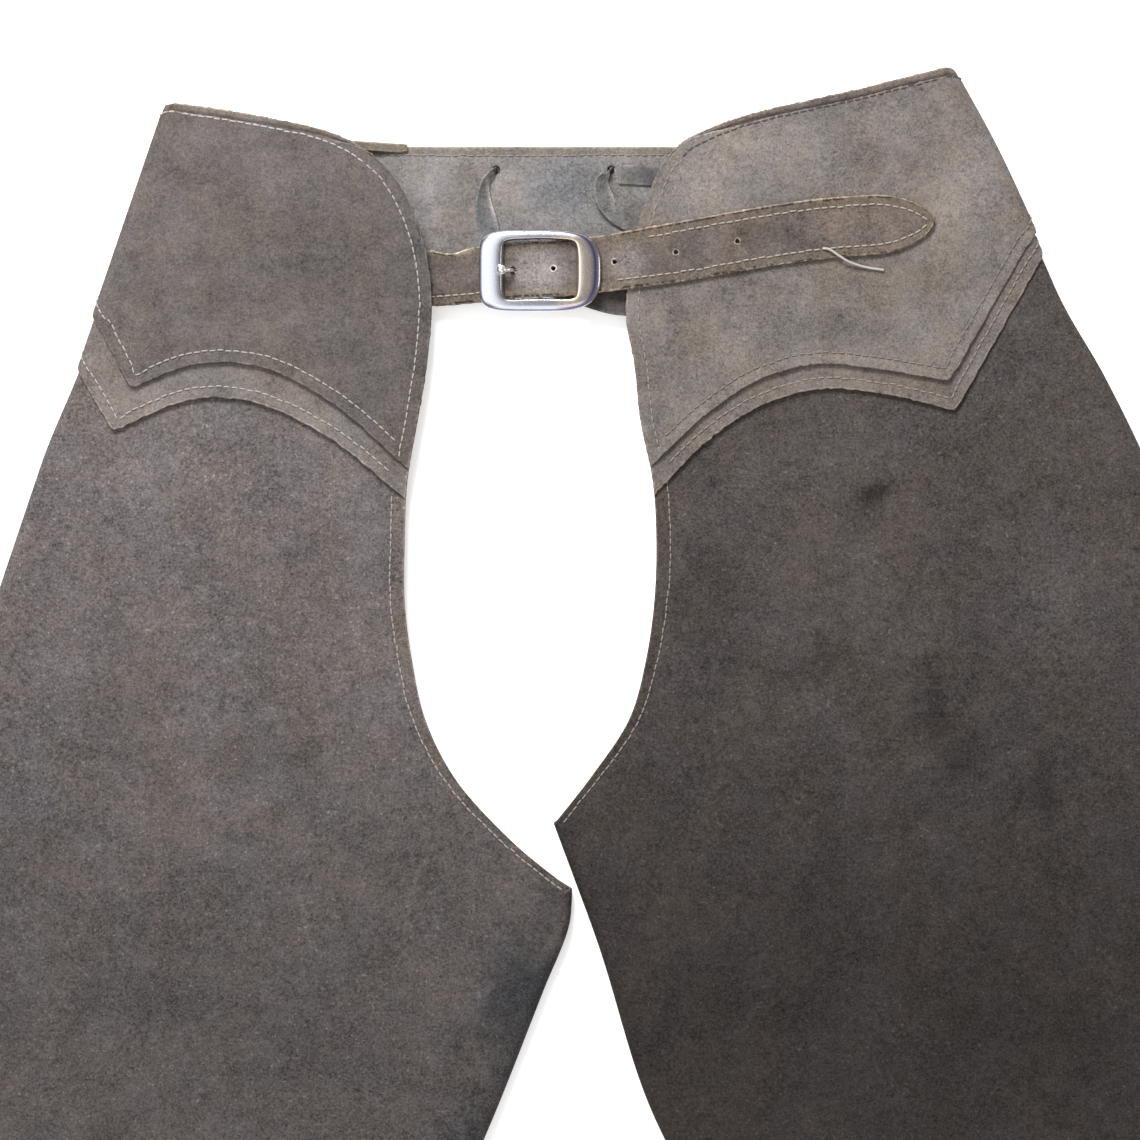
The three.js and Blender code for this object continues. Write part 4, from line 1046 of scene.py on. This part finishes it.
def cutHoles(made, holes, low, high, size):
    # Each hole is a plain round cutter, taken out of the leather.
    for x, y in holes:
        points, faces = rod([(x, y, low), (x, y, high)], alongX, alongY, size / 2)
        mesh = bpy.data.meshes.new("cutter")
        mesh.from_pydata((points + shift) / 1000, [], [tuple(f) for group in faces for f in group.tolist()])
        cutter = bpy.data.objects.new("cutter", mesh)
        bpy.context.scene.collection.objects.link(cutter)
        cut = made.modifiers.new("hole", "BOOLEAN")
        cut.operation, cut.object, cut.solver = "DIFFERENCE", cutter, "EXACT"
        bpy.context.view_layer.update()
        done = bpy.data.meshes.new_from_object(made.evaluated_get(bpy.context.evaluated_depsgraph_get()))
        made.modifiers.clear()
        made.data = done
        bpy.data.objects.remove(cutter)


def makeRings(name, holes, heights, size, thick, material, counts=(24, 8)):
    # A flattened ring of raised fibres round each hole, with three slight bulges; the whole ring counts as
    # cut rim, so it takes the pale rim colour with its painted highlight.
    turn, around = (2 * np.pi * np.arange(count) / count for count in counts)
    parts = []
    for k, ((x, y), z) in enumerate(zip(holes, heights)):
        reach = size / 2 + thick * 0.5 * (1 + np.cos(around)) + 0.12 * np.sin(3 * turn + k)[:, None]
        points = np.stack([x + reach * np.cos(turn)[:, None], y + reach * np.sin(turn)[:, None],
                           z + 0.22 * np.sin(around) + 0 * turn[:, None]], -1)
        parts.append((points.reshape(-1, 3), [torusQuads(*counts)]))
    points, faces = joined(parts)
    return makeMesh(name, points, faces, material, rim=np.ones(len(points)))


# Back belt and hem strip

beltSizes = dict(
    height=84, left=-165, right=135, wall=1.5, cell=1.9, skin=0.8, ripple=0.12, rippleWide=38,
    hole=4.8, holeLeft=-37.1, holeSpan=67, holeDrop=13.5,
    hemInset=5, hemFade=(-1.2, 0.6), groove=0.3,
    stitchEnds=4, stitchWave=0.25, stitchBend=19, stitchThick=0.8,
)


def makeBelt(s):
    # A flat strip behind the yokes, with its hem's seam along the top.
    low = legSizes["gap"] + legSizes["ply"]
    m, n = int((s["right"] - s["left"]) / s["cell"]), int(s["height"] / s["cell"])
    u, v = np.meshgrid(np.linspace(0, 1, m), np.linspace(0, 1, n))
    x, y = mix(s["left"], s["right"], u), -s["height"] * v

    def place(h):
        dent = groove(-y, s["hemInset"], s["groove"]) * (h > s["skin"])
        soft = ripple(x, y, 21, s["rippleWide"], s["ripple"]) * (h > s["skin"])
        return np.stack([x, y, low + h + dent + soft], -1).reshape(-1, 3)

    start, end = s["hemFade"]
    warm = 1 - smooth(s["hemInset"] + start, s["hemInset"] + end, -y)
    made = leather("back_belt_leather", place, gridQuads(n, m), [gridRing(n, m)], 0, s["wall"], beltSuede,
                   "back_belt", "belt_suede", warm)
    holes = [(s["holeLeft"] + k * s["holeSpan"], -s["holeDrop"]) for k in (0, 1)]
    cutHoles(made, holes, low - 1, low + 3, s["hole"])
    run = np.linspace(s["left"] + s["stitchEnds"], s["right"] - s["stitchEnds"], 400)
    waved = s["stitchWave"] * np.sin(run / s["stitchBend"]) - s["hemInset"]
    path = np.stack([run, waved, 0 * run + low + s["wall"]], -1)
    makeStitches("back_belt_stitches", [(path, np.tile(straightUp, (400, 1)))], "belt",
                 dict(thick=s["stitchThick"]))
    return holes, low, low + s["wall"]


laceHoles, beltLow, beltHigh = makeBelt(beltSizes)
hemSizes = dict(x=-88.7, length=46, wide=4.6, ply=1.5, top=4.2, slope=0.06, ends=(-0.6, 0.8), fall=1.9)


def makeHemStrip(s):
    # A narrow strip over the belt's top edge; its free end lies lower.
    low = stack + legSizes["wall"] + legSizes["gap"]
    u, v = np.meshgrid(np.linspace(0, 1, 24), np.linspace(0, 1, 5))
    x = s["x"] - u * s["length"]
    y = s["top"] - s["slope"] * (1 - u) * s["length"] - v * (s["wide"] + mix(*s["ends"], smooth(0, 0.1, u)))
    fall = s["fall"] * (1 - smooth(0.05, 0.5, u))

    def place(h):
        return np.stack([x, y, low + h - fall], -1).reshape(-1, 3)

    leather("left_back_hem_leather", place, gridQuads(5, 24), [gridRing(5, 24)], 0, s["ply"], hemSuede,
            "left_back_hem", "yoke_suede")


makeHemStrip(hemSizes)
print("back belt made")

# Pointed strap

buckle = dict(
    x=-11.6, y=-73.1, length=70.8, height=47.6, thick=4.2, tilt=1.5, windowLength=42, windowHeight=34,
    bar=3, barShift=1.2, barDrop=2.8, prong=2.5, knob=3.1, slot=5.5, lean=1.2,
    # The outline's power at its left and right ends, and the window's
    powers=(5.2, 3.2), windowPower=10,
    # Painted reflection colours for the frame's base colour: grey, blue at the left and bottom, tan at the
    # right, violet near the rim
    grey=(0.42, 0.42, 0.46), blue=(0.55, 0.57, 0.65), tan=(0.68, 0.6, 0.53), violet=(0.16, 0.1, 0.34),
)
strap = dict(
    left=-75.5, right=38, wide=33, run=291.9, tuck=34, wall=2.4, cell=1.5, skin=1,
    tip=35, onset=1.8, blunt=0.58, nearly=0.99,
    hole=2.6, prongHole=4.2, prongOffset=15.7, firstGap=23.5, spacing=35.5, holes=5, rimWide=0.95,
    gap=0.5, inset=5.8, groove=0.3, ripple=0.25, rippleWide=26, warmFade=(-0.7, 0.5), fray=0.14,
    line=[(-0.1, -77.4), (0, -77), (0.1, -74.9), (0.17, -72.6), (0.25, -71.6), (0.34, -69), (0.5, -62),
          (0.68, -53), (0.8, -48.6), (0.92, -46.2), (1, -45)],
    girth=[(0, 1), (0.35, 1), (0.5, 1.06), (1, 1.06)],
    rows=[(1, 52, 217), (-1, 30, 217), (-1, -83, -40)],  # the side of each row of stitches, and its ends
    sag=(-61.5, 8.5, 2.8),  # where the upper edge sags, how widely and how far
)
edgeTop = stack + 2 * legSizes["fold"] - legSizes["droop"]
underEdge = edgeTop - legSizes["wall"] - legSizes["gap"]
barHeight = edgeTop - buckle["barDrop"]
overBar = barHeight + buckle["bar"] / 2 + legSizes["gap"] + buckle["prong"] + strap["gap"]
# The strap's underside, from under the left yoke over the buckle's bar to the right yoke's edge
lowRows = [
    (strap["left"] - 10, underEdge - strap["wall"]), (strap["left"] + 3, underEdge - strap["wall"]),
    (buckle["x"] - buckle["length"] / 2 + 5, overBar - 2.2),
    (buckle["x"] - buckle["windowLength"] / 2 + 3, overBar - 1.4),
    (buckle["x"], overBar), (buckle["x"] + buckle["windowLength"] / 2 + 7, overBar + 0.1),
    (strap["right"] - 10, overBar + 0.7), (strap["right"] - 3, edgeTop + stack + strap["gap"]),
]
strapEnd = strap["left"] + strap["run"]


def strapWidth(x):
    # The tip's share of the width is 1 less a power of the way to its end, to a second power.
    s = strap
    toTip = np.clip((x - (strapEnd - s["tip"])) / s["tip"], 0, 1)
    girth = along(s["girth"], (x - s["left"]) / s["run"])
    return s["wide"] * girth * (1 - s["nearly"] * toTip ** s["onset"]) ** s["blunt"]


def strapPoint(x, v):
    # Square to the strap's middle line, by a share of its width, less the sag of the upper edge.
    s = strap
    sagAt, sagWide, sag = s["sag"]
    offset = (v - 0.5) * strapWidth(x) - sag * np.exp(-(((x - sagAt) / sagWide) ** 2)) * smooth(0.55, 1, v)
    lineAt = lambda at: along(s["line"], (at - s["left"]) / s["run"])
    turn = np.arctan((lineAt(x + 1) - lineAt(x - 1)) / 2)
    return x - offset * np.sin(turn), lineAt(x) + offset * np.cos(turn)


def strapLow(x, y):
    # The rows' height, and over the right yoke a gap above it at least.
    free = along(lowRows, x)
    a, d = lies["right"].unplan(x, y)
    over = lies["right"].height(a, d) + stack + strap["gap"]
    return np.where(x <= strap["right"] - 3, free, np.maximum(free, over))


def strapPlace(x, v, h):
    # A height above the underside, at a place along and across the strap.
    px, py = strapPoint(x, v)
    return np.stack([px, py, strapLow(px, py) + h], -1)


def makeStrap(s):
    # A grid along and across the strap, whose last columns crowd towards the round tip.
    start = strapEnd - s["tip"]
    tipShare = np.sin(np.linspace(0, 1, 30) * np.pi / 2)[1:]
    even = np.arange(s["left"] - s["tuck"], start - 0.5, s["cell"])
    x = np.concatenate([even, [start], start + s["tip"] * tipShare])
    sideSteps = (0, 1, 2.4, 4, 5.2, 6.4, 8)
    v = spread(s["wide"], sideSteps, sideSteps, 9)
    xx, vv = np.meshgrid(x, v)
    fromSide = (0.5 - np.abs(vv - 0.5)) * strapWidth(xx)
    fade, full = s["warmFade"]
    warm = 1 - smooth(s["inset"] + fade, s["inset"] + full, fromSide)
    soft = ripple(xx, vv * s["wide"], 33, s["rippleWide"], s["ripple"])

    def place(h):
        dent = (groove(fromSide, s["inset"], s["groove"]) + soft) * (h > s["skin"])
        return strapPlace(xx, vv, h + dent).reshape(-1, 3)

    n, m = xx.shape
    made = leather("billet_strap_leather", place, gridQuads(n, m), [gridRing(n, m)], 0, s["wall"], strapSuede,
                   "billet_strap", "strap_suede", warm, fray=s["fray"])
    prongX = buckle["x"] - s["prongOffset"]
    at = [prongX, *(prongX + (s["firstGap"] + k * s["spacing"]) for k in range(s["holes"] - 1))]
    holes = [tuple(float(q) for q in strapPoint(np.array(x), 0.5)) for x in at]
    cutHoles(made, holes[:1], 5, 30, s["prongHole"])
    cutHoles(made, holes[1:], 5, 30, s["hole"])
    heights = [float(strapLow(np.array(x), np.array(y))) + s["wall"] - 0.02 for x, y in holes]
    makeRings("billet_strap_hole_rims", holes[1:], heights[1:], s["hole"], s["rimWide"], strapSuede)
    runs = []
    for side, start, end in s["rows"]:
        # The rows keep their distance from the edge and meet near the tip; worn stretches have none.
        x = np.linspace(start, end, 1600)
        x = x[strapWidth(x) / 2 > s["inset"]]
        v = 0.5 + side * (0.5 - s["inset"] / strapWidth(x))
        path = strapPlace(x, v, s["wall"])
        runs.append((path, unit(strapPlace(x, v, s["wall"] + 1) - path)))
    makeStitches("billet_strap_stitches", runs, "cream")
    return holes


strapHoles = makeStrap(strap)
print("pointed strap made")

# Buckle strap

loopSizes = dict(wide=31.5, tuck=38, wall=1.6, cell=2.5, half=9, fall=11, fallOn=0.22)


def makeLoop(s):
    # Two plies that run back from the centre bar: a path of points with their outward ways, carried
    # across the strap's width, with a slot for the prong.
    x, right, near = buckle["x"], strap["right"], buckle["bar"] / 2 + legSizes["gap"]
    endX, upper = right + s["tuck"], underEdge - s["wall"]
    lower, reach = upper - legSizes["gap"], near + buckle["prong"] + 1.2
    lead = [(endX, upper), (right - 4, upper), (right - 20, upper + 0.5),
            (x + 2 * reach, barHeight + near - 0.2), (x + reach, barHeight + near)]
    tail = [(x + reach, barHeight - near), (right - 18, lower), (right - 4, lower), (endX, lower)]
    turns = np.pi / 2 + np.linspace(0, np.pi, 17)
    cos, sin = np.cos(turns), np.sin(turns)
    arc = np.stack([x + near * cos, barHeight + near * sin, cos, sin], -1)

    def fine(rows, up):
        # Straight runs between the points, a few millimetres a step.
        rows = np.array(rows)
        walk = np.concatenate([[0], np.cumsum(np.hypot(*np.diff(rows, axis=0).T))])
        at = np.union1d(walk, np.linspace(0, walk[-1], int(walk[-1] / s["cell"])))
        return np.c_[sampled(at, walk, rows), 0 * at, 0 * at + up]

    leadRows, tailRows = fine(lead, 1), fine(tail, -1)
    profile = np.vstack([leadRows, arc, tailRows])
    middle = buckle["y"] + buckle["barShift"]
    slotY = strapHoles[0][1] - middle
    halfSlot, halfWide = buckle["slot"] / 2, s["wide"] / 2
    y = np.concatenate([np.linspace(-halfWide, slotY - halfSlot, s["half"]),
                        np.linspace(slotY + halfSlot, halfWide, s["half"])])
    fall = -s["fall"] * smooth(x, right, profile[:, 0]) - s["fallOn"] * np.maximum(0, profile[:, 0] - right)
    n, m = len(profile), len(y)

    def place(h):
        at = profile[:, None, :2] + profile[:, None, 2:] * h
        points = np.stack([at[..., 0] + 0 * y, middle + y + fall[:, None], at[..., 1] + 0 * y], -1)
        return points.reshape(-1, 3)

    quads = gridQuads(n, m)
    row, column = quads[:, 0] // m, quads[:, 0] % m
    slotFrom, slotTo = len(leadRows) - 1, len(leadRows) + len(arc)
    inSlot = (column == s["half"] - 1) & (row >= slotFrom) & (row < slotTo)
    index = np.arange(n * m).reshape(n, m)[slotFrom:slotTo + 1]
    slotRing = np.concatenate([index[:, s["half"] - 1], index[::-1, s["half"]]])
    rings = [gridRing(n, m), slotRing]
    leather("buckle_strap_leather", place, quads[~inSlot], rings, 0, s["wall"], loopSuede, "buckle_strap",
            "strap_suede", steps=2)


makeLoop(loopSizes)

# Buckle


def tubeMesh(path, radii, sides):
    # A round section carried along a path without twisting, closed at both ends by fans.
    ahead = unit(np.gradient(path, axis=0))
    side = unit(np.cross(ahead, np.array([0.0, 1.0, 0.02])))
    up = np.cross(side, ahead)
    turn = 2 * np.pi * np.arange(sides) / sides
    loop = side[:, None] * np.cos(turn)[:, None] + up[:, None] * np.sin(turn)[:, None]
    points = path[:, None] + loop * np.asarray(radii)[:, None, None]
    n = len(path)
    j = np.arange(sides)
    after, last = (j + 1) % sides, (n - 1) * sides
    low = np.stack([np.full(sides, n * sides), after, j], -1)
    high = np.stack([np.full(sides, n * sides + 1), last + j, last + after], -1)
    points = np.vstack([points.reshape(-1, 3), path[:1], path[-1:]])
    return points, [gridQuads(n, sides, wrap=True), low, high]


frameLow = overBar + strap["wall"] + strap["gap"]
# The frame's section: shares of the way from the outline to the window, and of the thickness
frameSection = np.array([
    (0.0, 0.3), (0.006, 0.42), (0.03, 0.55), (0.075, 0.67), (0.14, 0.77), (0.22, 0.85), (0.32, 0.91),
    (0.43, 0.955), (0.55, 0.985), (0.67, 1.0), (0.78, 1.0), (0.86, 0.985), (0.885, 0.96), (0.91, 0.86),
    (0.94, 0.7), (0.97, 0.52), (1, 0.3), (0.985, 0.1), (0.93, 0), (0.5, 0), (0.07, 0), (0.015, 0.1),
])


def paintedReflectionTones(s, angle, share):
    # Painted reflection in the base colour, standing in for the polish mirroring a pale room: blue at the
    # left, tan at the right with a violet line near the rim.
    across, upward = np.cos(angle)[:, None], np.sin(angle)[:, None]
    right, left = smooth(0.3, 0.7, across), smooth(0.3, 0.75, -across)
    low = smooth(0.3, 0.8, -upward) * (1 - smooth(0.3, 0.6, share)) * (1 - right)
    tones = np.array(s["grey"])
    for colour, amount in (("blue", left * (1 - smooth(0.55, 0.95, share))), ("blue", low),
                           ("tan", right * smooth(0.28, 0.42, share)),
                           ("violet", right * np.exp(-(((share - 0.22) / 0.06) ** 2)))):
        tones = tones + (np.array(s[colour]) - tones) * amount[..., None]
    return tones.reshape(-1, 3)


def makeFrame(s, count=220):
    # The outline's radius is a rounded box's at each angle, and the section is a flat dome with
    # a narrow bevel at the window. The centre bar lies below it, on two short posts.
    angle = 2 * np.pi * np.arange(count) / count

    def radial(halfX, halfY, power):
        x, y = np.abs(np.cos(angle)) / halfX, np.abs(np.sin(angle)) / halfY
        return 1 / (x**power + y**power) ** (1 / power)

    far = radial(s["length"] / 2, s["height"] / 2, mix(*s["powers"], smooth(-0.2, 0.2, np.cos(angle))))
    near = radial(s["windowLength"] / 2, s["windowHeight"] / 2, s["windowPower"])
    share, high = frameSection.T
    lean = s["lean"] * np.sin(angle) ** 2
    r = mix(far[:, None], near[:, None], share)
    x, y = r * np.cos(angle)[:, None], r * np.sin(angle)[:, None] + lean[:, None] * share
    z = np.broadcast_to(high * s["thick"], x.shape)
    tilt = radians(-s["tilt"])
    tx, tz = x * np.cos(tilt) + z * np.sin(tilt), -x * np.sin(tilt) + z * np.cos(tilt)
    low = frameLow - 18 * np.sin(radians(s["tilt"]))
    ring = np.stack([tx + s["x"], y + s["y"], tz + low], -1).reshape(-1, 3)
    barReach, barY, radius = s["windowHeight"] / 2 + 2.7, s["y"] + s["barShift"], s["bar"] / 2
    barRun = barY + np.linspace(-1, 1, 12) * (barReach + s["bar"] * 0.4)
    parts = [(ring, [torusQuads(count, len(share))]),
             rod([(s["x"], at, barHeight) for at in barRun], alongX, alongZ, radius)]
    for side in (-1, 1):
        postRun = np.linspace(barHeight, frameLow + s["thick"] * 0.5, 4)
        parts.append(rod([(s["x"], barY + side * barReach, at) for at in postRun], alongX, alongY, radius))
    points, faces = joined(parts)
    # The frame's points take the painted reflection colours; the bar and posts stay plain white.
    tones = paintedReflectionTones(s, angle, share + 0 * angle[:, None])
    tones = np.vstack([tones, np.ones((len(points) - len(tones), 3))])
    makeMesh("buckle_frame_polished", points, faces, chrome, "buckle_frame", tones=tones)


def makeProng(s):
    # An eye round the centre bar, a stem up through the strap and a round tip on the frame.
    eye = s["bar"] / 2 + legSizes["gap"] + s["prong"] / 2
    holeX, y = strapHoles[0]
    turns = np.radians(-150 + 30 * np.arange(9))
    restTop = frameLow - 40 * np.sin(radians(s["tilt"])) + s["thick"] + s["prong"] / 2
    top = float(strapLow(np.array(holeX), np.array(y))) + strap["wall"]
    rows = [(s["x"] + eye * np.cos(t), y, barHeight + eye * np.sin(t)) for t in turns]
    rows += [(holeX + ahead, y, height) for ahead, height in (
        (4.6, barHeight + eye * 0.6), (0.6, top - strap["wall"] - 0.5), (0, top - strap["wall"] / 2),
        (-0.3, top + 0.9), (-2.4, restTop + 0.3), (-5.2, restTop + 1.5), (-9.6, restTop + 1.75))]
    share = np.linspace(0, 1, 150)
    curve = roundCurve(rows)
    end = (1 - share) * curve.length
    stem = s["prong"] / 2
    knob = s["knob"] * np.sqrt(np.clip(1 - (1 - end / s["knob"]) ** 2, 0.005, 1))
    radii = np.where(end < s["knob"], knob, stem + (s["knob"] - stem) * (1 - smooth(1, 2.3, end / s["knob"])))
    points, faces = tubeMesh(curve(share), radii, 20)
    plain = np.ones(points.shape)
    makeMesh("buckle_prong_polished", points, faces, chrome, "buckle_prong", tones=plain)


makeFrame(buckle)
makeProng(buckle)
print("buckle made")

# Laces

laceSizes = dict(wall=1.3, wide=11.5, detail=14, columns=9, cutRound=0.6)


def thongPlace(rows, s):
    # A flat thong along a curve: its flat turns by a heading in plan and then about its own way.
    rows = np.array(rows, float)
    centre = catmullRom(rows[:, :3], s["detail"])
    share, spacing = np.linspace(0, 1, len(centre)), np.linspace(0, 1, len(rows))
    wide, heading, edge = (along(list(zip(spacing, rows[:, k])), share) for k in (3, 4, 5))
    ahead = unit(np.gradient(centre, axis=0))
    heading, edge = np.radians(heading), np.radians(edge)
    flat = np.stack([-np.sin(heading), np.cos(heading), 0 * heading], -1)
    flat = unit(flat - ahead * np.sum(flat * ahead, -1, keepdims=True))
    cos, sin = np.cos(edge)[:, None], np.sin(edge)[:, None]
    flat = flat * cos + np.cross(ahead, flat) * sin
    face = np.cross(ahead, flat)
    v = np.linspace(-0.5, 0.5, s["columns"])

    def place(h):
        across = flat[:, None] * (v * wide[:, None])[..., None]
        return (centre[:, None] + across + face[:, None] * h).reshape(-1, 3)

    return place, len(centre)


def makeLace(s):
    # Rows of a thong: its place, its width, its heading and its turn about its own way, in degrees.
    (lx, ly), (rx, ry) = laceHoles
    on = beltHigh + legSizes["gap"] + s["wall"] / 2
    outside, across, w = beltLow / 2 + 0.06, (beltLow + beltHigh) / 2 + 0.4, s["wide"]
    rows = [
        (lx - 1.5, -60, on, w, 90, 0), (lx - 5, -44, on + 0.4, w, 90, 0),
        (lx - 7.5, -32, on + 2.2, w * 0.86, 90, 24),
        (lx - 6, -20, on + 2.8, w * 0.6, 80, 50), (lx - 2.2, ly - 1.2, on + 2.2, 4, 40, 40),
        (lx - 0.3, ly, across, 3.4, 0, 0), (lx - 1.2, ly, outside + 0.15, 6, 0, 0),
        (lx + 3, ly, outside + 0.05, 8, 0, 0), (lx + 14, ly, outside, w, 0, 0),
        (rx - 14, ry, outside, w, 0, 0), (rx - 3, ry, outside + 0.05, 8, 0, 0),
        (rx + 1.2, ry, outside + 0.15, 6, 0, 0),
        (rx + 0.3, ry, across, 3.4, 0, 0), (rx - 2, ry - 1.5, on + 2.2, 4, -40, -30),
        (rx - 5.5, -20, on + 2.4, w * 0.8, -90, -30), (rx - 4.5, -29, on + 2.2, w, -80, -20),
        (rx + 1.5, -38, on + 1, w, -50, -8), (rx + 13, -45, on, w, -25, 0), (rx + 26, -50, on, w, -20, 0),
    ]
    end = [(rx + x, y - beltSizes["holeDrop"], on, w, 0, 0) for x, y in ((4.4, -2.5), (22, -3.5), (40, -4))]
    for name, run in (("back_lace", rows), ("lace_end", end)):
        place, n = thongPlace(run, s)
        m, half = s["columns"], s["wall"] / 2
        leather(name + "_leather", place, gridQuads(n, m), [gridRing(n, m)], -half, half, laceSuede, name,
                "belt_suede", cutRound=s["cutRound"])


makeLace(laceSizes)
print("laces made")

# Loose thread

# Its rows are places in the picture's frame, and over is how high above the right yoke each one lies.
threadSizes = dict(
    thick=1.5, rows=[(822, 249.5), (828, 250.5), (838, 257), (848, 263), (864, 268), (883, 271)],
    over=(2.7, 3.3, 3.4, 2.6, 0.9, 0.3), count=60, sides=8,
)


def makeLooseThread(s):
    # The end of a sewing thread that has worked loose below the strap.
    plan = np.array([onLeather(*row) for row in s["rows"]])
    a, d = lies["right"].unplan(plan[:, 0], plan[:, 1])
    z = lies["right"].height(a, d) + stack + s["thick"] / 2 + np.array(s["over"])
    path = roundCurve(np.c_[plan, z])(np.linspace(0, 1, s["count"]))
    points, faces = tubeMesh(path, np.full(s["count"], s["thick"] / 2), s["sides"])
    outwards = [group[:, ::-1] for group in faces]
    makeMesh("loose_thread", points, outwards, threads["pale"])


makeLooseThread(threadSizes)

# Studio

studio = dict(
    world=0.31, tone=(1, 0.965, 0.92), aim=(0, 0.3, 0), floor=0.95, glow=0.4, half=6,
    lamps=[  # place, size, watts
        ((-0.6, 2.3, 1.9), 0.9, 105), ((-1.15, 0.4, 1.9), 1.9, 17), ((0.1, -0.95, 1.9), 1.6, 11),
        ((2.4, 0.5, 0.8), 0.8, 8),
    ],
)


def makeStudio(s):
    # A pale sky, square lamps that face the aim, and a floor that glows a little.
    world = bpy.data.worlds.new("studio")
    world.use_nodes = True
    world.node_tree.nodes["Background"].inputs["Color"].default_value = (*s["tone"], 1)
    world.node_tree.nodes["Background"].inputs["Strength"].default_value = s["world"]
    bpy.context.scene.world = world
    for k, (place, size, watts) in enumerate(s["lamps"]):
        light = bpy.data.lights.new(f"lamp_{k}", "AREA")
        light.shape, light.size, light.energy = "SQUARE", size, watts
        lamp = bpy.data.objects.new(f"lamp_{k}", light)
        lamp.location = place
        lamp.rotation_euler = (Vector(s["aim"]) - Vector(place)).to_track_quat("-Z", "Y").to_euler()
        bpy.context.scene.collection.objects.link(lamp)
    floor = bpy.data.meshes.new("floor")
    corners = [(x * s["half"], y * s["half"], 0) for x, y in ((-1, -1), (1, -1), (1, 1), (-1, 1))]
    floor.from_pydata(corners, [], [(0, 1, 2, 3)])
    sh = Shader("pale_floor")
    floor.materials.append(sh.finish({
        "Base Color": (s["floor"],) * 3 + (1,), "Roughness": 0.9, "Specular IOR Level": 0.0,
        "Emission Color": (1, 1, 1, 1), "Emission Strength": s["glow"]}, {}))
    made = bpy.data.objects.new("floor", floor)
    bpy.context.scene.collection.objects.link(made)
    bpy.context.scene.view_settings.view_transform = "Standard"


makeStudio(studio)
print("studio made")
